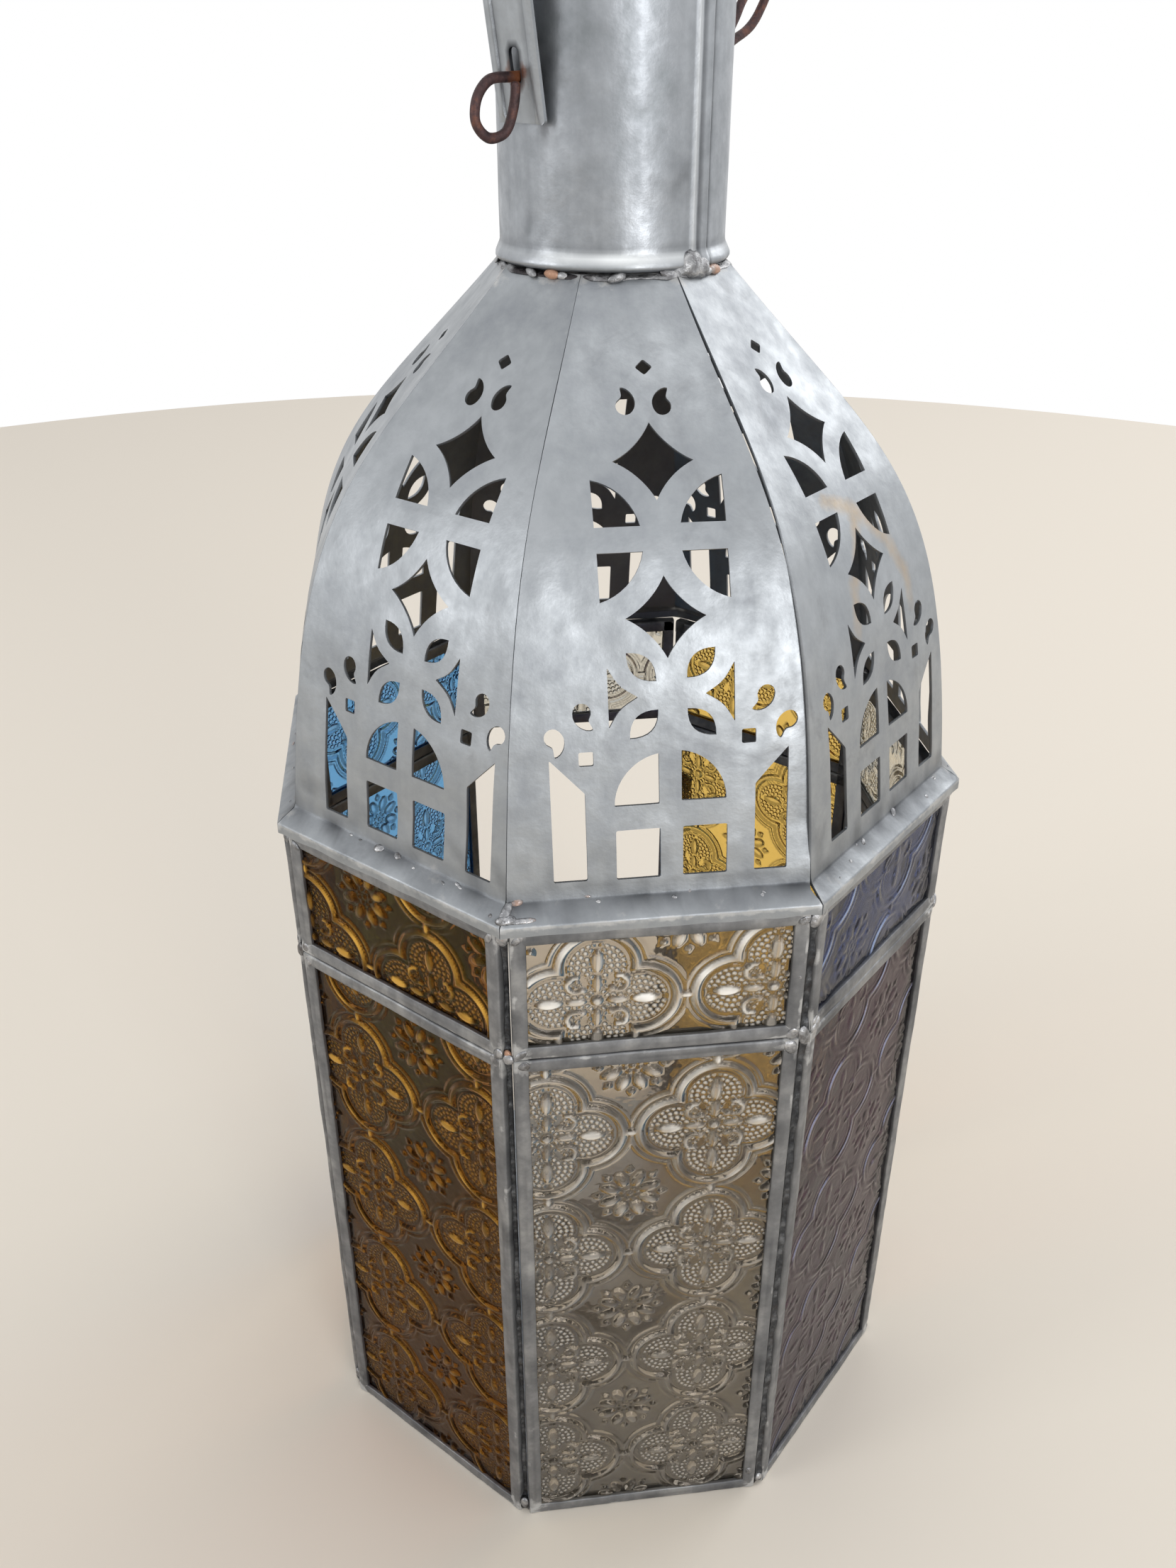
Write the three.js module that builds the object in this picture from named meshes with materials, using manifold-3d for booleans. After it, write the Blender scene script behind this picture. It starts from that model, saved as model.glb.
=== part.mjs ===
// Oriental candle lantern: an eight-sided body of framed coloured panes, a pierced sheet dome and a neck
// with a strap handle. Millimetres, +Z up, origin under the middle of the base, front face towards -Y.
import * as THREE from 'three';
import { mergeVertices } from 'three/addons/utils/BufferGeometryUtils.js';
import Module from 'manifold-3d';

const wasm = await Module();
wasm.setup();

// Body
const FACES = 8;
const BODY_APOTHEM = 95;
const LOWER_HEIGHT = 193.7;
const BAND_HEIGHT = 40;
const SEAT_GAP = 0.3;

// Frames of U-shaped came and the panes held in them
const CAME_BAR = 4;
const CAME_DEPTH = 4;
const CAME_EDGE = 0.5;
const GLASS_THICKNESS = 2.4;
const GLASS_BITE = 2;
const GLASS_CLEARANCE = 0.2;

// Floor of the lantern and the candle cup on it
const BASE_THICKNESS = 1.2;
const CUP_RADIUS = 29;
const CUP_HEIGHT = 12;
const CUP_WALL = 1;
const CUP_RIM_ROLL = 1.1;

// Dome panels: one curved sheet each, with a ledge and a lip that caps the frames
const SHEET = 0.8;
const DOME_HEIGHT = 133;
const LEDGE_WIDTH = 4;
const LEDGE_LIFT = 6.2;
const SHOULDER_LOW_INSET = 8.5;
const SHOULDER_LOW_RISE = 86;
const SHOULDER_HIGH_INSET = 21.5;
const SHOULDER_HIGH_RISE = 85.5;
const DOME_STEPS = 11;
const LEDGE_DROP = 3.6;
const LIP_OVERLAP = 0.5;
const SEAM_GAP = 0.3;

// Cut-outs of a dome panel, on the flat sheet: x from the pattern's middle line, s up from its foot
const PATTERN_FOOT = 4.6;
const PATTERN_SHIFT = 2.6;
const PATTERN_LEAN = 0.013;
const BOX_INNER = 2.7;
const BOX_OUTER = 13.5;
const BOX_TOP = 13.1;
const ARCH_FOOT = 19.6;
const ARCH_RADIUS = 12.9;
const SLOT_EDGE = 8.9;
const SLOT_WIDTH = 8.2;
const SLOT_SHOULDER = 22.8;
const SLOT_TIP = 31.6;
const PIN_SQUARE_LEFT = { x: -19.8, s: 31.3 };
const PIN_SQUARE_RIGHT = { x: 19.1, s: 34.9 };
const PIN_SQUARE_HALF = 1.7;
const FLOWER_SHIFT = 0.7;
const LEAF_CENTRE_S = 45.9;
const LEAF_NEAR = 5;
const LEAF_FAR = 14.6;
const LEAF_HALF_WIDTH = 2.5;
const HORN_OUTER = 14.7;
const HORN_INNER = 7.7;
const HORN_HALF = 7.2;
const HORN_HOLLOW = 0.9;
const COMMA_RADIUS = 2.4;
const COMMA_LEFT_OUTER = { edge: 10.2, s: 37.5, turn: 203, hand: 1 };
const COMMA_LEFT_INNER = { edge: 17.3, s: 42.5, turn: 191, hand: -1 };
const COMMA_RIGHT_INNER = { edge: 14.6, s: 44.9, turn: 155, hand: 1 };
const COMMA_RIGHT_OUTER = { edge: 8.7, s: 38.3, turn: 136, hand: -1 };
const COMMA_TOP_LEFT = { x: -5.2, s: 113.4, turn: -13, hand: -1 };
const COMMA_TOP_RIGHT = { x: 3.6, s: 113.3, turn: 0, hand: 1 };
const STAR_LOW_S = 63.7;
const STAR_HIGH_S = 99.8;
const STAR_HALF = 9.4;
const RING_CENTRE_X = 18.9;
const RING_RADIUS = 14.7;
const RING_CHORD_X = 15.1;
const RING_BAR = 6.2;
const TIP_DIAMOND_S = 123.4;
const TIP_DIAMOND_HALF = 2;

// Neck
const NECK_RADIUS = 28.2;
const NECK_OVERHANG = 0.7;
const NECK_SIDES = 32;
const NECK_HEIGHT = 71.5;
const NECK_FLARE = 1.6;
const NECK_FLARE_HEIGHT = 3.6;
const NECK_RIM_ROLL = 1.3;
const LOCK_SEAM_ANGLE = -45;
const LOCK_SEAM_SPAN = 13;
const LOCK_SEAM_PROUD = 0.6;

// Strap handle and the wire eyes that it turns on
const HANDLE_TURN = 37;
const PIVOT_BELOW_RIM = 31;
const STRAP_WIDTH = 15.6;
const STRAP_THICKNESS = 0.9;
const STRAP_HEM = 2.6;
const STRAP_HEM_PROUD = 0.7;
const STRAP_TAIL = 9.3;
const STRAP_LEG = 50;
const STRAP_LEAN = 9;
const STRAP_STANDOFF = 0.4;
const STRAP_SLOT = 7.5;
const WIRE_DIAMETER = 2.3;
const WIRE_CLEARANCE = 0.4;
const WIRE_STEP = 2.1;
const EYE_LEFT = { length: 15, width: 10.4, droop: 48, shoulder: 0.92 };
const EYE_RIGHT = { length: 31, width: 8.5, droop: -41, shoulder: 0.4 };

// Door: the back lower frame, on two pinned hinges, shown standing open
const DOOR_OPEN = 105;
const DOOR_CLEARANCE = 0.5;
const DOOR_LIFT = 1;
const HINGE_OUTSET = 0.42;
const KNUCKLE_RADIUS = 1.7;
const HINGE_PIN_RADIUS = 0.8;
const HINGE_PIN_CLEARANCE = 0.3;
const HINGE_LEAF_THICKNESS = 0.6;
const HINGE_LEAF_WIDTH = 8;
const KNUCKLE_LENGTH = 7;
const HINGE_FROM_END = 34;

// Turn button that keeps the door shut
const BUTTON_WIDTH = 5;
const BUTTON_REACH = 14;
const BUTTON_THICKNESS = 0.8;
const RIVET_RADIUS = 1.2;
const RIVET_HEAD_RADIUS = 2.3;
const RIVET_HEAD = 0.8;

// Solder
const SOLDER_SHY = 0.25;
const SOLDER_START = 1.2;
const SOLDER_DEPTH = 2.2;
const SOLDER_LAP = 0.1;

// Places worked out from the sizes above
const TURN = (2 * Math.PI) / FACES;
const HALF_TURN = TURN / 2;
const CORNER_STRETCH = 1 / Math.cos(HALF_TURN);
const INNER_APOTHEM = BODY_APOTHEM - CAME_DEPTH;
const FRAME_WIDTH = 2 * INNER_APOTHEM * Math.tan(HALF_TURN) - SEAT_GAP;
const BAND_FOOT = LOWER_HEIGHT + SEAT_GAP;
const FRAME_TOP = BAND_FOOT + BAND_HEIGHT;
const DOME_FOOT = FRAME_TOP + LEDGE_LIFT;
const DOME_BASE_APOTHEM = BODY_APOTHEM - LEDGE_WIDTH;
const DOME_TOP_APOTHEM = NECK_RADIUS - NECK_OVERHANG;
const PANEL_HALF_WIDTH = DOME_BASE_APOTHEM * Math.tan(HALF_TURN);
const SLOT_OUTER = PANEL_HALF_WIDTH - SLOT_EDGE;
const SLOT_INNER = SLOT_OUTER - SLOT_WIDTH;
const DOME_TOP = DOME_FOOT + DOME_HEIGHT;
const NECK_FOOT = DOME_TOP + SEAT_GAP;
const NECK_TOP = NECK_FOOT + NECK_HEIGHT;
const PIVOT_HEIGHT = NECK_TOP - PIVOT_BELOW_RIM;
const WIRE_RADIUS = WIRE_DIAMETER / 2;
const WIRE_HOLE = WIRE_RADIUS + WIRE_CLEARANCE;
const CUT_MARGIN = 2;

const FACE_NAMES = [
  'front', 'front_left', 'left', 'back_left', 'back', 'back_right', 'right', 'front_right',
];
const DOOR_FACE = 4;
const PANE_COLOURS = ['clear', 'amber', 'clear', 'blue'];

const sheetMetal = new THREE.MeshStandardMaterial({ color: 0x979a9e, roughness: 0.5, metalness: 0.85 });
const neckMetal = new THREE.MeshStandardMaterial({ color: 0xa7abb0, roughness: 0.38, metalness: 0.9 });
const solderMetal = new THREE.MeshStandardMaterial({ color: 0x8b8d8f, roughness: 0.55, metalness: 0.8 });
const rustyWire = new THREE.MeshStandardMaterial({ color: 0x4a3230, roughness: 0.8, metalness: 0.45 });
const glass = {
  clear: new THREE.MeshStandardMaterial({ color: 0xc9cdbf, roughness: 0.15, metalness: 0 }),
  amber: new THREE.MeshStandardMaterial({ color: 0xa9761a, roughness: 0.15, metalness: 0 }),
  blue: new THREE.MeshStandardMaterial({ color: 0x3f76b8, roughness: 0.15, metalness: 0 }),
};

const radians = THREE.MathUtils.degToRad;

// Solids

function solidOf(geometry) {
  const bare = geometry.index ? geometry.toNonIndexed() : geometry.clone();
  bare.deleteAttribute('normal');
  bare.deleteAttribute('uv');
  const merged = mergeVertices(bare, 1e-4);
  return new wasm.Manifold(new wasm.Mesh({
    numProp: 3,
    vertProperties: merged.attributes.position.array,
    triVerts: new Uint32Array(merged.index.array),
  }));
}

function geometryOf(solid) {
  const mesh = solid.getMesh();
  const geometry = new THREE.BufferGeometry();
  geometry.setAttribute('position', new THREE.BufferAttribute(mesh.vertProperties, mesh.numProp));
  geometry.setIndex(new THREE.BufferAttribute(mesh.triVerts, 1));
  geometry.computeVertexNormals();
  return geometry;
}

// Extrudes an outline of the x-z plane along y, from yNear to yFar
function extrudeAlongY(shape, yNear, yFar, curveSegments = 12) {
  const geometry = new THREE.ExtrudeGeometry(shape, {
    depth: yFar - yNear, bevelEnabled: false, curveSegments,
  });
  geometry.rotateX(Math.PI / 2);
  geometry.translate(0, yFar, 0);
  return geometry;
}

function extrudeAlongZ(shape, zLow, zHigh, curveSegments = 12) {
  const geometry = new THREE.ExtrudeGeometry(shape, {
    depth: zHigh - zLow, bevelEnabled: false, curveSegments,
  });
  geometry.translate(0, 0, zLow);
  return geometry;
}

function rectangle(width, height, zMiddle = 0) {
  const shape = new THREE.Shape();
  shape.moveTo(-width / 2, zMiddle - height / 2);
  shape.lineTo(width / 2, zMiddle - height / 2);
  shape.lineTo(width / 2, zMiddle + height / 2);
  shape.lineTo(-width / 2, zMiddle + height / 2);
  shape.closePath();
  return shape;
}

// A solid turned about the z axis from [radius, height] points, which end on the axis or where they began
function turned(section, segments) {
  const points = section.map(([radius, height]) => new THREE.Vector2(radius, height));
  const geometry = new THREE.LatheGeometry(points, segments);
  geometry.rotateX(Math.PI / 2);
  return geometry;
}

function ring(section, segments) {
  return turned([...section, section[0]], segments);
}

// Scene graph helpers

const lantern = new THREE.Group();

function addPiece(parent, name, geometry, material) {
  const mesh = new THREE.Mesh(geometry, material);
  mesh.name = name;
  parent.add(mesh);
  return mesh;
}

function addGroup(parent) {
  const group = new THREE.Group();
  parent.add(group);
  return group;
}

// Frames and panes, modelled on the front face and turned to their own

function cameFrame(height) {
  const outline = rectangle(FRAME_WIDTH, height);
  outline.holes.push(rectangle(FRAME_WIDTH - 2 * CAME_BAR, height - 2 * CAME_BAR));
  const ring = new THREE.ExtrudeGeometry(outline, {
    depth: CAME_DEPTH - 2 * CAME_EDGE,
    bevelEnabled: true,
    bevelThickness: CAME_EDGE,
    bevelSize: CAME_EDGE,
    bevelOffset: -CAME_EDGE,
    bevelSegments: 1,
  });
  ring.rotateX(Math.PI / 2);
  ring.translate(0, -INNER_APOTHEM - CAME_EDGE, 0);
  const grooveReach = 2 * (GLASS_BITE + GLASS_CLEARANCE - CAME_BAR);
  const groove = new THREE.BoxGeometry(
    FRAME_WIDTH + grooveReach, GLASS_THICKNESS + 2 * GLASS_CLEARANCE, height + grooveReach,
  );
  groove.translate(0, -paneApothem(), 0);
  return geometryOf(solidOf(ring).subtract(solidOf(groove)));
}

function paneApothem() {
  return BODY_APOTHEM - CAME_DEPTH / 2;
}

function pane(height) {
  const reach = 2 * (GLASS_BITE - CAME_BAR);
  const geometry = new THREE.BoxGeometry(FRAME_WIDTH + reach, GLASS_THICKNESS, height + reach);
  geometry.translate(0, -paneApothem(), 0);
  return geometry;
}

function addFramedPane(parent, names, height, foot, colour) {
  const group = addGroup(parent);
  group.position.z = foot + height / 2;
  addPiece(group, names.frame, cameFrame(height), sheetMetal);
  addPiece(group, names.pane, pane(height), glass[colour]);
}

function addFace(parent, index) {
  const group = addGroup(parent);
  group.rotation.z = -index * TURN;
  return group;
}

function addBody() {
  FACE_NAMES.forEach((face, index) => {
    const group = addFace(lantern, index);
    const colour = PANE_COLOURS[index % PANE_COLOURS.length];
    addFramedPane(
      group, { frame: `band_frame_${face}`, pane: `band_pane_${face}` }, BAND_HEIGHT, BAND_FOOT, colour,
    );
    if (index !== DOOR_FACE) {
      addFramedPane(
        group, { frame: `lower_frame_${face}`, pane: `lower_pane_${face}` }, LOWER_HEIGHT, 0, colour,
      );
    }
  });
}

// Base plate and candle cup

function basePlate() {
  const radius = (INNER_APOTHEM - SEAT_GAP) * CORNER_STRETCH;
  const shape = new THREE.Shape();
  for (let i = 0; i < FACES; i += 1) {
    const angle = HALF_TURN + i * TURN;
    const point = [radius * Math.cos(angle), radius * Math.sin(angle)];
    if (i === 0) shape.moveTo(...point);
    else shape.lineTo(...point);
  }
  shape.closePath();
  return extrudeAlongZ(shape, 0, BASE_THICKNESS);
}

// A drawn dish with a flat floor, a flared wall and a rolled rim
function candleCup() {
  const floor = BASE_THICKNESS + SEAT_GAP;
  const foot = CUP_RADIUS - 4 * CUP_RIM_ROLL;
  const rollCentre = [CUP_RADIUS - CUP_RIM_ROLL, floor + CUP_HEIGHT - CUP_RIM_ROLL];
  const section = [
    [0, floor],
    [foot, floor],
    ...arcPoints(rollCentre, CUP_RIM_ROLL, -Math.PI / 2, Math.PI * 0.75, 6),
    [foot - CUP_WALL, floor + CUP_WALL],
    [0, floor + CUP_WALL],
  ];
  return turned(section, 24);
}

// Dome: the outline of the sheet in the plane across a panel's middle, apothem against height

const domeCurve = new THREE.CubicBezierCurve(
  new THREE.Vector2(DOME_BASE_APOTHEM, DOME_FOOT),
  new THREE.Vector2(DOME_BASE_APOTHEM - SHOULDER_LOW_INSET, DOME_FOOT + SHOULDER_LOW_RISE),
  new THREE.Vector2(DOME_BASE_APOTHEM - SHOULDER_HIGH_INSET, DOME_FOOT + SHOULDER_HIGH_RISE),
  new THREE.Vector2(DOME_TOP_APOTHEM, DOME_TOP),
);
const domeLength = domeCurve.getLength();

// Section of the bent sheet: the outer line up from the lip, then back down its inner side
function sheetSection() {
  const lipOuter = BODY_APOTHEM + SEAT_GAP + SHEET;
  const lipFoot = FRAME_TOP - LIP_OVERLAP;
  const ledgeOuter = DOME_FOOT - LEDGE_DROP;
  const outer = [new THREE.Vector2(lipOuter, lipFoot), new THREE.Vector2(lipOuter, ledgeOuter)];
  const inner = [
    new THREE.Vector2(lipOuter - SHEET, lipFoot),
    new THREE.Vector2(lipOuter - SHEET, ledgeOuter - SHEET / 2),
    new THREE.Vector2(DOME_BASE_APOTHEM - SHEET, DOME_FOOT - SHEET / 2),
  ];
  for (let i = 0; i <= DOME_STEPS; i += 1) {
    const point = domeCurve.getPointAt(i / DOME_STEPS);
    const tangent = domeCurve.getTangentAt(i / DOME_STEPS);
    outer.push(point);
    if (i > 0) {
      inner.push(new THREE.Vector2(point.x - SHEET * tangent.y, point.y + SHEET * tangent.x));
    }
  }
  return [...outer, ...inner.reverse()];
}

// Turns a section of the x-z plane (apothem along x) to run across a face, trimmed at both seam planes
function acrossFace(section, seamGap) {
  const reach = BODY_APOTHEM + CAME_DEPTH;
  const strip = new THREE.ExtrudeGeometry(new THREE.Shape(section), {
    depth: 2 * reach, bevelEnabled: false,
  });
  strip.translate(0, 0, -reach);
  strip.rotateX(Math.PI / 2);
  strip.rotateZ(-Math.PI / 2);
  const tip = seamGap / 2 / Math.sin(HALF_TURN);
  const wedgeHalf = reach * Math.tan(HALF_TURN);
  const wedge = new THREE.Shape();
  wedge.moveTo(0, -tip);
  wedge.lineTo(-wedgeHalf, -tip - reach);
  wedge.lineTo(wedgeHalf, -tip - reach);
  wedge.closePath();
  return solidOf(strip).intersect(solidOf(extrudeAlongZ(wedge, 0, NECK_TOP)));
}

// Cut-out outlines, drawn on the flat sheet

// In head radii about the middle of the head, from the tip of the tail round to the notch
const COMMA_OUTLINE = [
  [0.75, 2.05], [-0.25, 1.75], [-0.85, 1.05], [-1, 0.15], [-0.65, -0.7],
  [0.05, -1], [0.65, -0.7], [0.95, 0.05], [0.45, 0.9],
];

function arcPoints(centre, radius, from, to, steps) {
  return Array.from({ length: steps + 1 }, (_, i) => {
    const angle = from + ((to - from) * i) / steps;
    return [centre[0] + radius * Math.cos(angle), centre[1] + radius * Math.sin(angle)];
  });
}

function arcBetween(start, end, centre, steps) {
  const from = Math.atan2(start[1] - centre[1], start[0] - centre[0]);
  let to = Math.atan2(end[1] - centre[1], end[0] - centre[0]);
  if (to - from > Math.PI) to -= 2 * Math.PI;
  if (to - from < -Math.PI) to += 2 * Math.PI;
  const radius = Math.hypot(start[0] - centre[0], start[1] - centre[1]);
  return arcPoints(centre, radius, from, to, steps).slice(0, -1);
}

// Four-pointed star with hollow sides, between four touching rings
function star(middle) {
  const corners = [[0, -STAR_HALF], [STAR_HALF, 0], [0, STAR_HALF], [-STAR_HALF, 0]];
  const bow = RING_CENTRE_X;
  return corners.flatMap(([x, s], i) => {
    const next = corners[(i + 1) % corners.length];
    const centre = [Math.sign(x + next[0]) * bow, middle + Math.sign(s + next[1]) * bow];
    return arcBetween([x, middle + s], [next[0], middle + next[1]], centre, 3);
  });
}

// Half of a ring's segment beside the middle line, above or below the cross bar
function ringSegment(side) {
  const middle = (STAR_LOW_S + STAR_HIGH_S) / 2;
  const bar = (side * RING_BAR) / 2;
  const chordRise = Math.sqrt(RING_RADIUS ** 2 - (RING_CENTRE_X - RING_CHORD_X) ** 2);
  const barReach = RING_CENTRE_X - Math.sqrt(RING_RADIUS ** 2 - bar ** 2);
  return [
    [RING_CHORD_X, middle + bar],
    ...arcBetween(
      [barReach, middle + bar], [RING_CHORD_X, middle + side * chordRise], [RING_CENTRE_X, middle], 3,
    ),
    [RING_CHORD_X, middle + side * chordRise],
  ];
}

// Pointed leaf on a diagonal of the flower
function leaf(rise) {
  const middle = (LEAF_NEAR + LEAF_FAR) / 2;
  const half = (LEAF_FAR - LEAF_NEAR) / 2;
  const along = [-1, -0.45, 0.45, 1];
  const edge = (side) => along.map((t) => [middle + half * t, side * LEAF_HALF_WIDTH * (1 - t * t)]);
  const loop = [...edge(1), ...edge(-1).slice(1, -1).reverse()];
  const cos = Math.SQRT1_2;
  return loop.map(([a, b]) => [(a - b) * cos, LEAF_CENTRE_S + rise * (a + b) * cos]);
}

// Hollow-sided triangle beside the flower
function horn() {
  const tip = [HORN_INNER, LEAF_CENTRE_S];
  const top = [HORN_OUTER, LEAF_CENTRE_S + HORN_HALF];
  const foot = [HORN_OUTER, LEAF_CENTRE_S - HORN_HALF];
  const hollow = (a, b, side) => [
    (a[0] + b[0]) / 2 + HORN_HOLLOW, (a[1] + b[1]) / 2 - side * HORN_HOLLOW,
  ];
  return [tip, hollow(tip, foot, -1), foot, top, hollow(top, tip, 1)];
}

// Comma: a round head with a tail that curls away from it, turned by `turn` degrees
function comma({ x, s, turn, hand }) {
  const cos = Math.cos(radians(turn));
  const sin = Math.sin(radians(turn));
  return COMMA_OUTLINE.map(([right, up]) => {
    const a = hand * right * COMMA_RADIUS;
    const b = up * COMMA_RADIUS;
    return [x + a * cos - b * sin, s + a * sin + b * cos];
  });
}

function sideComma(side, { edge, ...rest }) {
  return comma({ x: side * (PANEL_HALF_WIDTH - edge), ...rest });
}

function quarterArch() {
  const rise = Math.sqrt(ARCH_RADIUS ** 2 - (BOX_INNER - (BOX_OUTER - ARCH_RADIUS)) ** 2);
  const centre = [BOX_OUTER - ARCH_RADIUS, ARCH_FOOT];
  return [
    [BOX_INNER, ARCH_FOOT],
    ...arcBetween([BOX_OUTER, ARCH_FOOT], [BOX_INNER, ARCH_FOOT + rise], centre, 3),
    [BOX_INNER, ARCH_FOOT + rise],
  ];
}

function pinSquare({ x, s }) {
  const half = PIN_SQUARE_HALF;
  return [[-half, -half], [half, -half], [half, half], [-half, half]].map(([a, b]) => [x + a, s + b]);
}

function mirrored(outlines) {
  return outlines.map((outline) => outline.map(([x, s]) => [-x, s]));
}

// The flower stands a little to one side of the middle line
function flowerCuts() {
  const right = [leaf(1), leaf(-1), horn()];
  return [...right, ...mirrored(right)].map((outline) => outline.map(([x, s]) => [x + FLOWER_SHIFT, s]));
}

// Outlines on the right of the middle line, which the left side mirrors
function sideCuts() {
  return [
    [[BOX_INNER, 0], [BOX_OUTER, 0], [BOX_OUTER, BOX_TOP], [BOX_INNER, BOX_TOP]],
    quarterArch(),
    [[SLOT_INNER, 0], [SLOT_OUTER, 0], [SLOT_OUTER, SLOT_TIP], [SLOT_INNER, SLOT_SHOULDER]],
    ringSegment(1),
    ringSegment(-1),
  ];
}

// Outlines cut one by one: the middle ones, and those that the two hands of the cutter set unevenly
function singleCuts() {
  const half = TIP_DIAMOND_HALF;
  return [
    star(STAR_LOW_S),
    star(STAR_HIGH_S),
    [[0, TIP_DIAMOND_S - half], [half, TIP_DIAMOND_S], [0, TIP_DIAMOND_S + half], [-half, TIP_DIAMOND_S]],
    pinSquare(PIN_SQUARE_LEFT),
    pinSquare(PIN_SQUARE_RIGHT),
    sideComma(-1, COMMA_LEFT_OUTER),
    sideComma(-1, COMMA_LEFT_INNER),
    sideComma(1, COMMA_RIGHT_INNER),
    sideComma(1, COMMA_RIGHT_OUTER),
    comma(COMMA_TOP_LEFT),
    comma(COMMA_TOP_RIGHT),
  ];
}

// Where a point of the pattern lies on the bent sheet, across the face and up it
function ontoSheet([x, s]) {
  const height = domeCurve.getPointAt((PATTERN_FOOT + s) / domeLength).y;
  return new THREE.Vector2(x + PATTERN_SHIFT - PATTERN_LEAN * s, height);
}

function panelCutters() {
  const outlines = [...singleCuts(), ...flowerCuts(), ...sideCuts(), ...mirrored(sideCuts())];
  return outlines.map((outline) => {
    const shape = new THREE.Shape(outline.map(ontoSheet));
    return solidOf(extrudeAlongY(shape, -BODY_APOTHEM, -DOME_TOP_APOTHEM + CUT_MARGIN));
  }).reduce((all, cutter) => all.add(cutter));
}

function domePanel() {
  return geometryOf(acrossFace(sheetSection(), SEAM_GAP).subtract(panelCutters()));
}

function addDome() {
  const geometry = domePanel();
  FACE_NAMES.forEach((face, index) => {
    addPiece(addFace(lantern, index), `dome_panel_${face}`, geometry, sheetMetal);
  });
}

// Neck: a rolled sheet tube with a folded lock seam, a flared foot and a rolled rim

function neckTube() {
  const seamStart = radians(LOCK_SEAM_ANGLE - LOCK_SEAM_SPAN / 2);
  const seamEnd = radians(LOCK_SEAM_ANGLE + LOCK_SEAM_SPAN / 2);
  const outline = [
    ...arcPoints([0, 0], NECK_RADIUS, seamEnd, seamStart + 2 * Math.PI, NECK_SIDES),
    ...arcPoints([0, 0], NECK_RADIUS + LOCK_SEAM_PROUD, seamStart, seamEnd, 2),
  ];
  const shape = new THREE.Shape(outline.map(([x, y]) => new THREE.Vector2(x, y)));
  const inner = NECK_RADIUS - SHEET;
  const bore = arcPoints([0, 0], inner, 0, 2 * Math.PI, NECK_SIDES).slice(0, -1);
  shape.holes.push(new THREE.Path(bore.map(([x, y]) => new THREE.Vector2(x, y))));
  const tube = solidOf(extrudeAlongZ(shape, NECK_FOOT, NECK_TOP));
  const flare = ring([
    [inner, NECK_FOOT],
    [NECK_RADIUS + NECK_FLARE, NECK_FOOT],
    [NECK_RADIUS + NECK_FLARE, NECK_FOOT + NECK_FLARE_HEIGHT * 0.3],
    [NECK_RADIUS + NECK_FLARE * 0.45, NECK_FOOT + NECK_FLARE_HEIGHT * 0.62],
    [NECK_RADIUS - SHEET / 2, NECK_FOOT + NECK_FLARE_HEIGHT],
    [inner, NECK_FOOT + NECK_FLARE_HEIGHT],
  ], NECK_SIDES);
  const rollSection = arcPoints(
    [NECK_RADIUS + NECK_RIM_ROLL / 2, NECK_TOP], NECK_RIM_ROLL, 0, 2 * Math.PI, 5,
  ).slice(0, -1);
  const rim = ring(rollSection, NECK_SIDES);
  const eyeHole = new THREE.CylinderGeometry(WIRE_HOLE, WIRE_HOLE, 3 * NECK_RADIUS, 10);
  eyeHole.rotateZ(Math.PI / 2);
  eyeHole.rotateZ(radians(HANDLE_TURN));
  eyeHole.translate(0, 0, PIVOT_HEIGHT);
  return geometryOf(tube.add(solidOf(flare)).add(solidOf(rim)).subtract(solidOf(eyeHole)));
}

// Solder run under the flared foot, on the top edges of the dome panels
function neckSolder() {
  const reach = NECK_RADIUS + NECK_FLARE;
  const slope = domeCurve.getTangentAt(1);
  const fall = (distance) => (distance * slope.y) / slope.x;
  const lift = SEAT_GAP / Math.abs(slope.x);
  const top = DOME_TOP;
  const near = DOME_TOP_APOTHEM + lift * 1.5;
  const section = [
    new THREE.Vector2(near, top),
    new THREE.Vector2(near, top + fall(near - DOME_TOP_APOTHEM) + lift),
    new THREE.Vector2(reach, top + fall(reach - DOME_TOP_APOTHEM) + lift),
    new THREE.Vector2(reach, top),
  ];
  const run = acrossFace(section, -SOLDER_LAP);
  let ring = run;
  for (let i = 1; i < FACES; i += 1) ring = ring.add(run.rotate([0, 0, (i * 360) / FACES]));
  return geometryOf(ring);
}

// Handle: a hemmed strip bent into an arch, whose tails hang below the wires that it turns on

function strapOutline(inner, outer) {
  const lean = radians(STRAP_LEAN);
  const foot = NECK_RADIUS + STRAP_STANDOFF;
  const legTop = foot + (STRAP_TAIL + STRAP_LEG) * Math.tan(lean);
  const footHeight = PIVOT_HEIGHT - STRAP_TAIL;
  const legHeight = PIVOT_HEIGHT + STRAP_LEG;
  const radius = legTop / Math.cos(lean);
  const archHeight = legHeight + legTop * Math.tan(lean);
  const across = (offset) => offset / Math.cos(lean);
  const shape = new THREE.Shape();
  shape.moveTo(foot + across(outer), footHeight);
  shape.absarc(0, archHeight, radius + outer, -lean, Math.PI + lean, false);
  shape.lineTo(-foot - across(outer), footHeight);
  shape.lineTo(-foot - across(inner), footHeight);
  shape.absarc(0, archHeight, radius + inner, Math.PI + lean, -lean, true);
  shape.lineTo(foot + across(inner), footHeight);
  shape.closePath();
  return shape;
}

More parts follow.
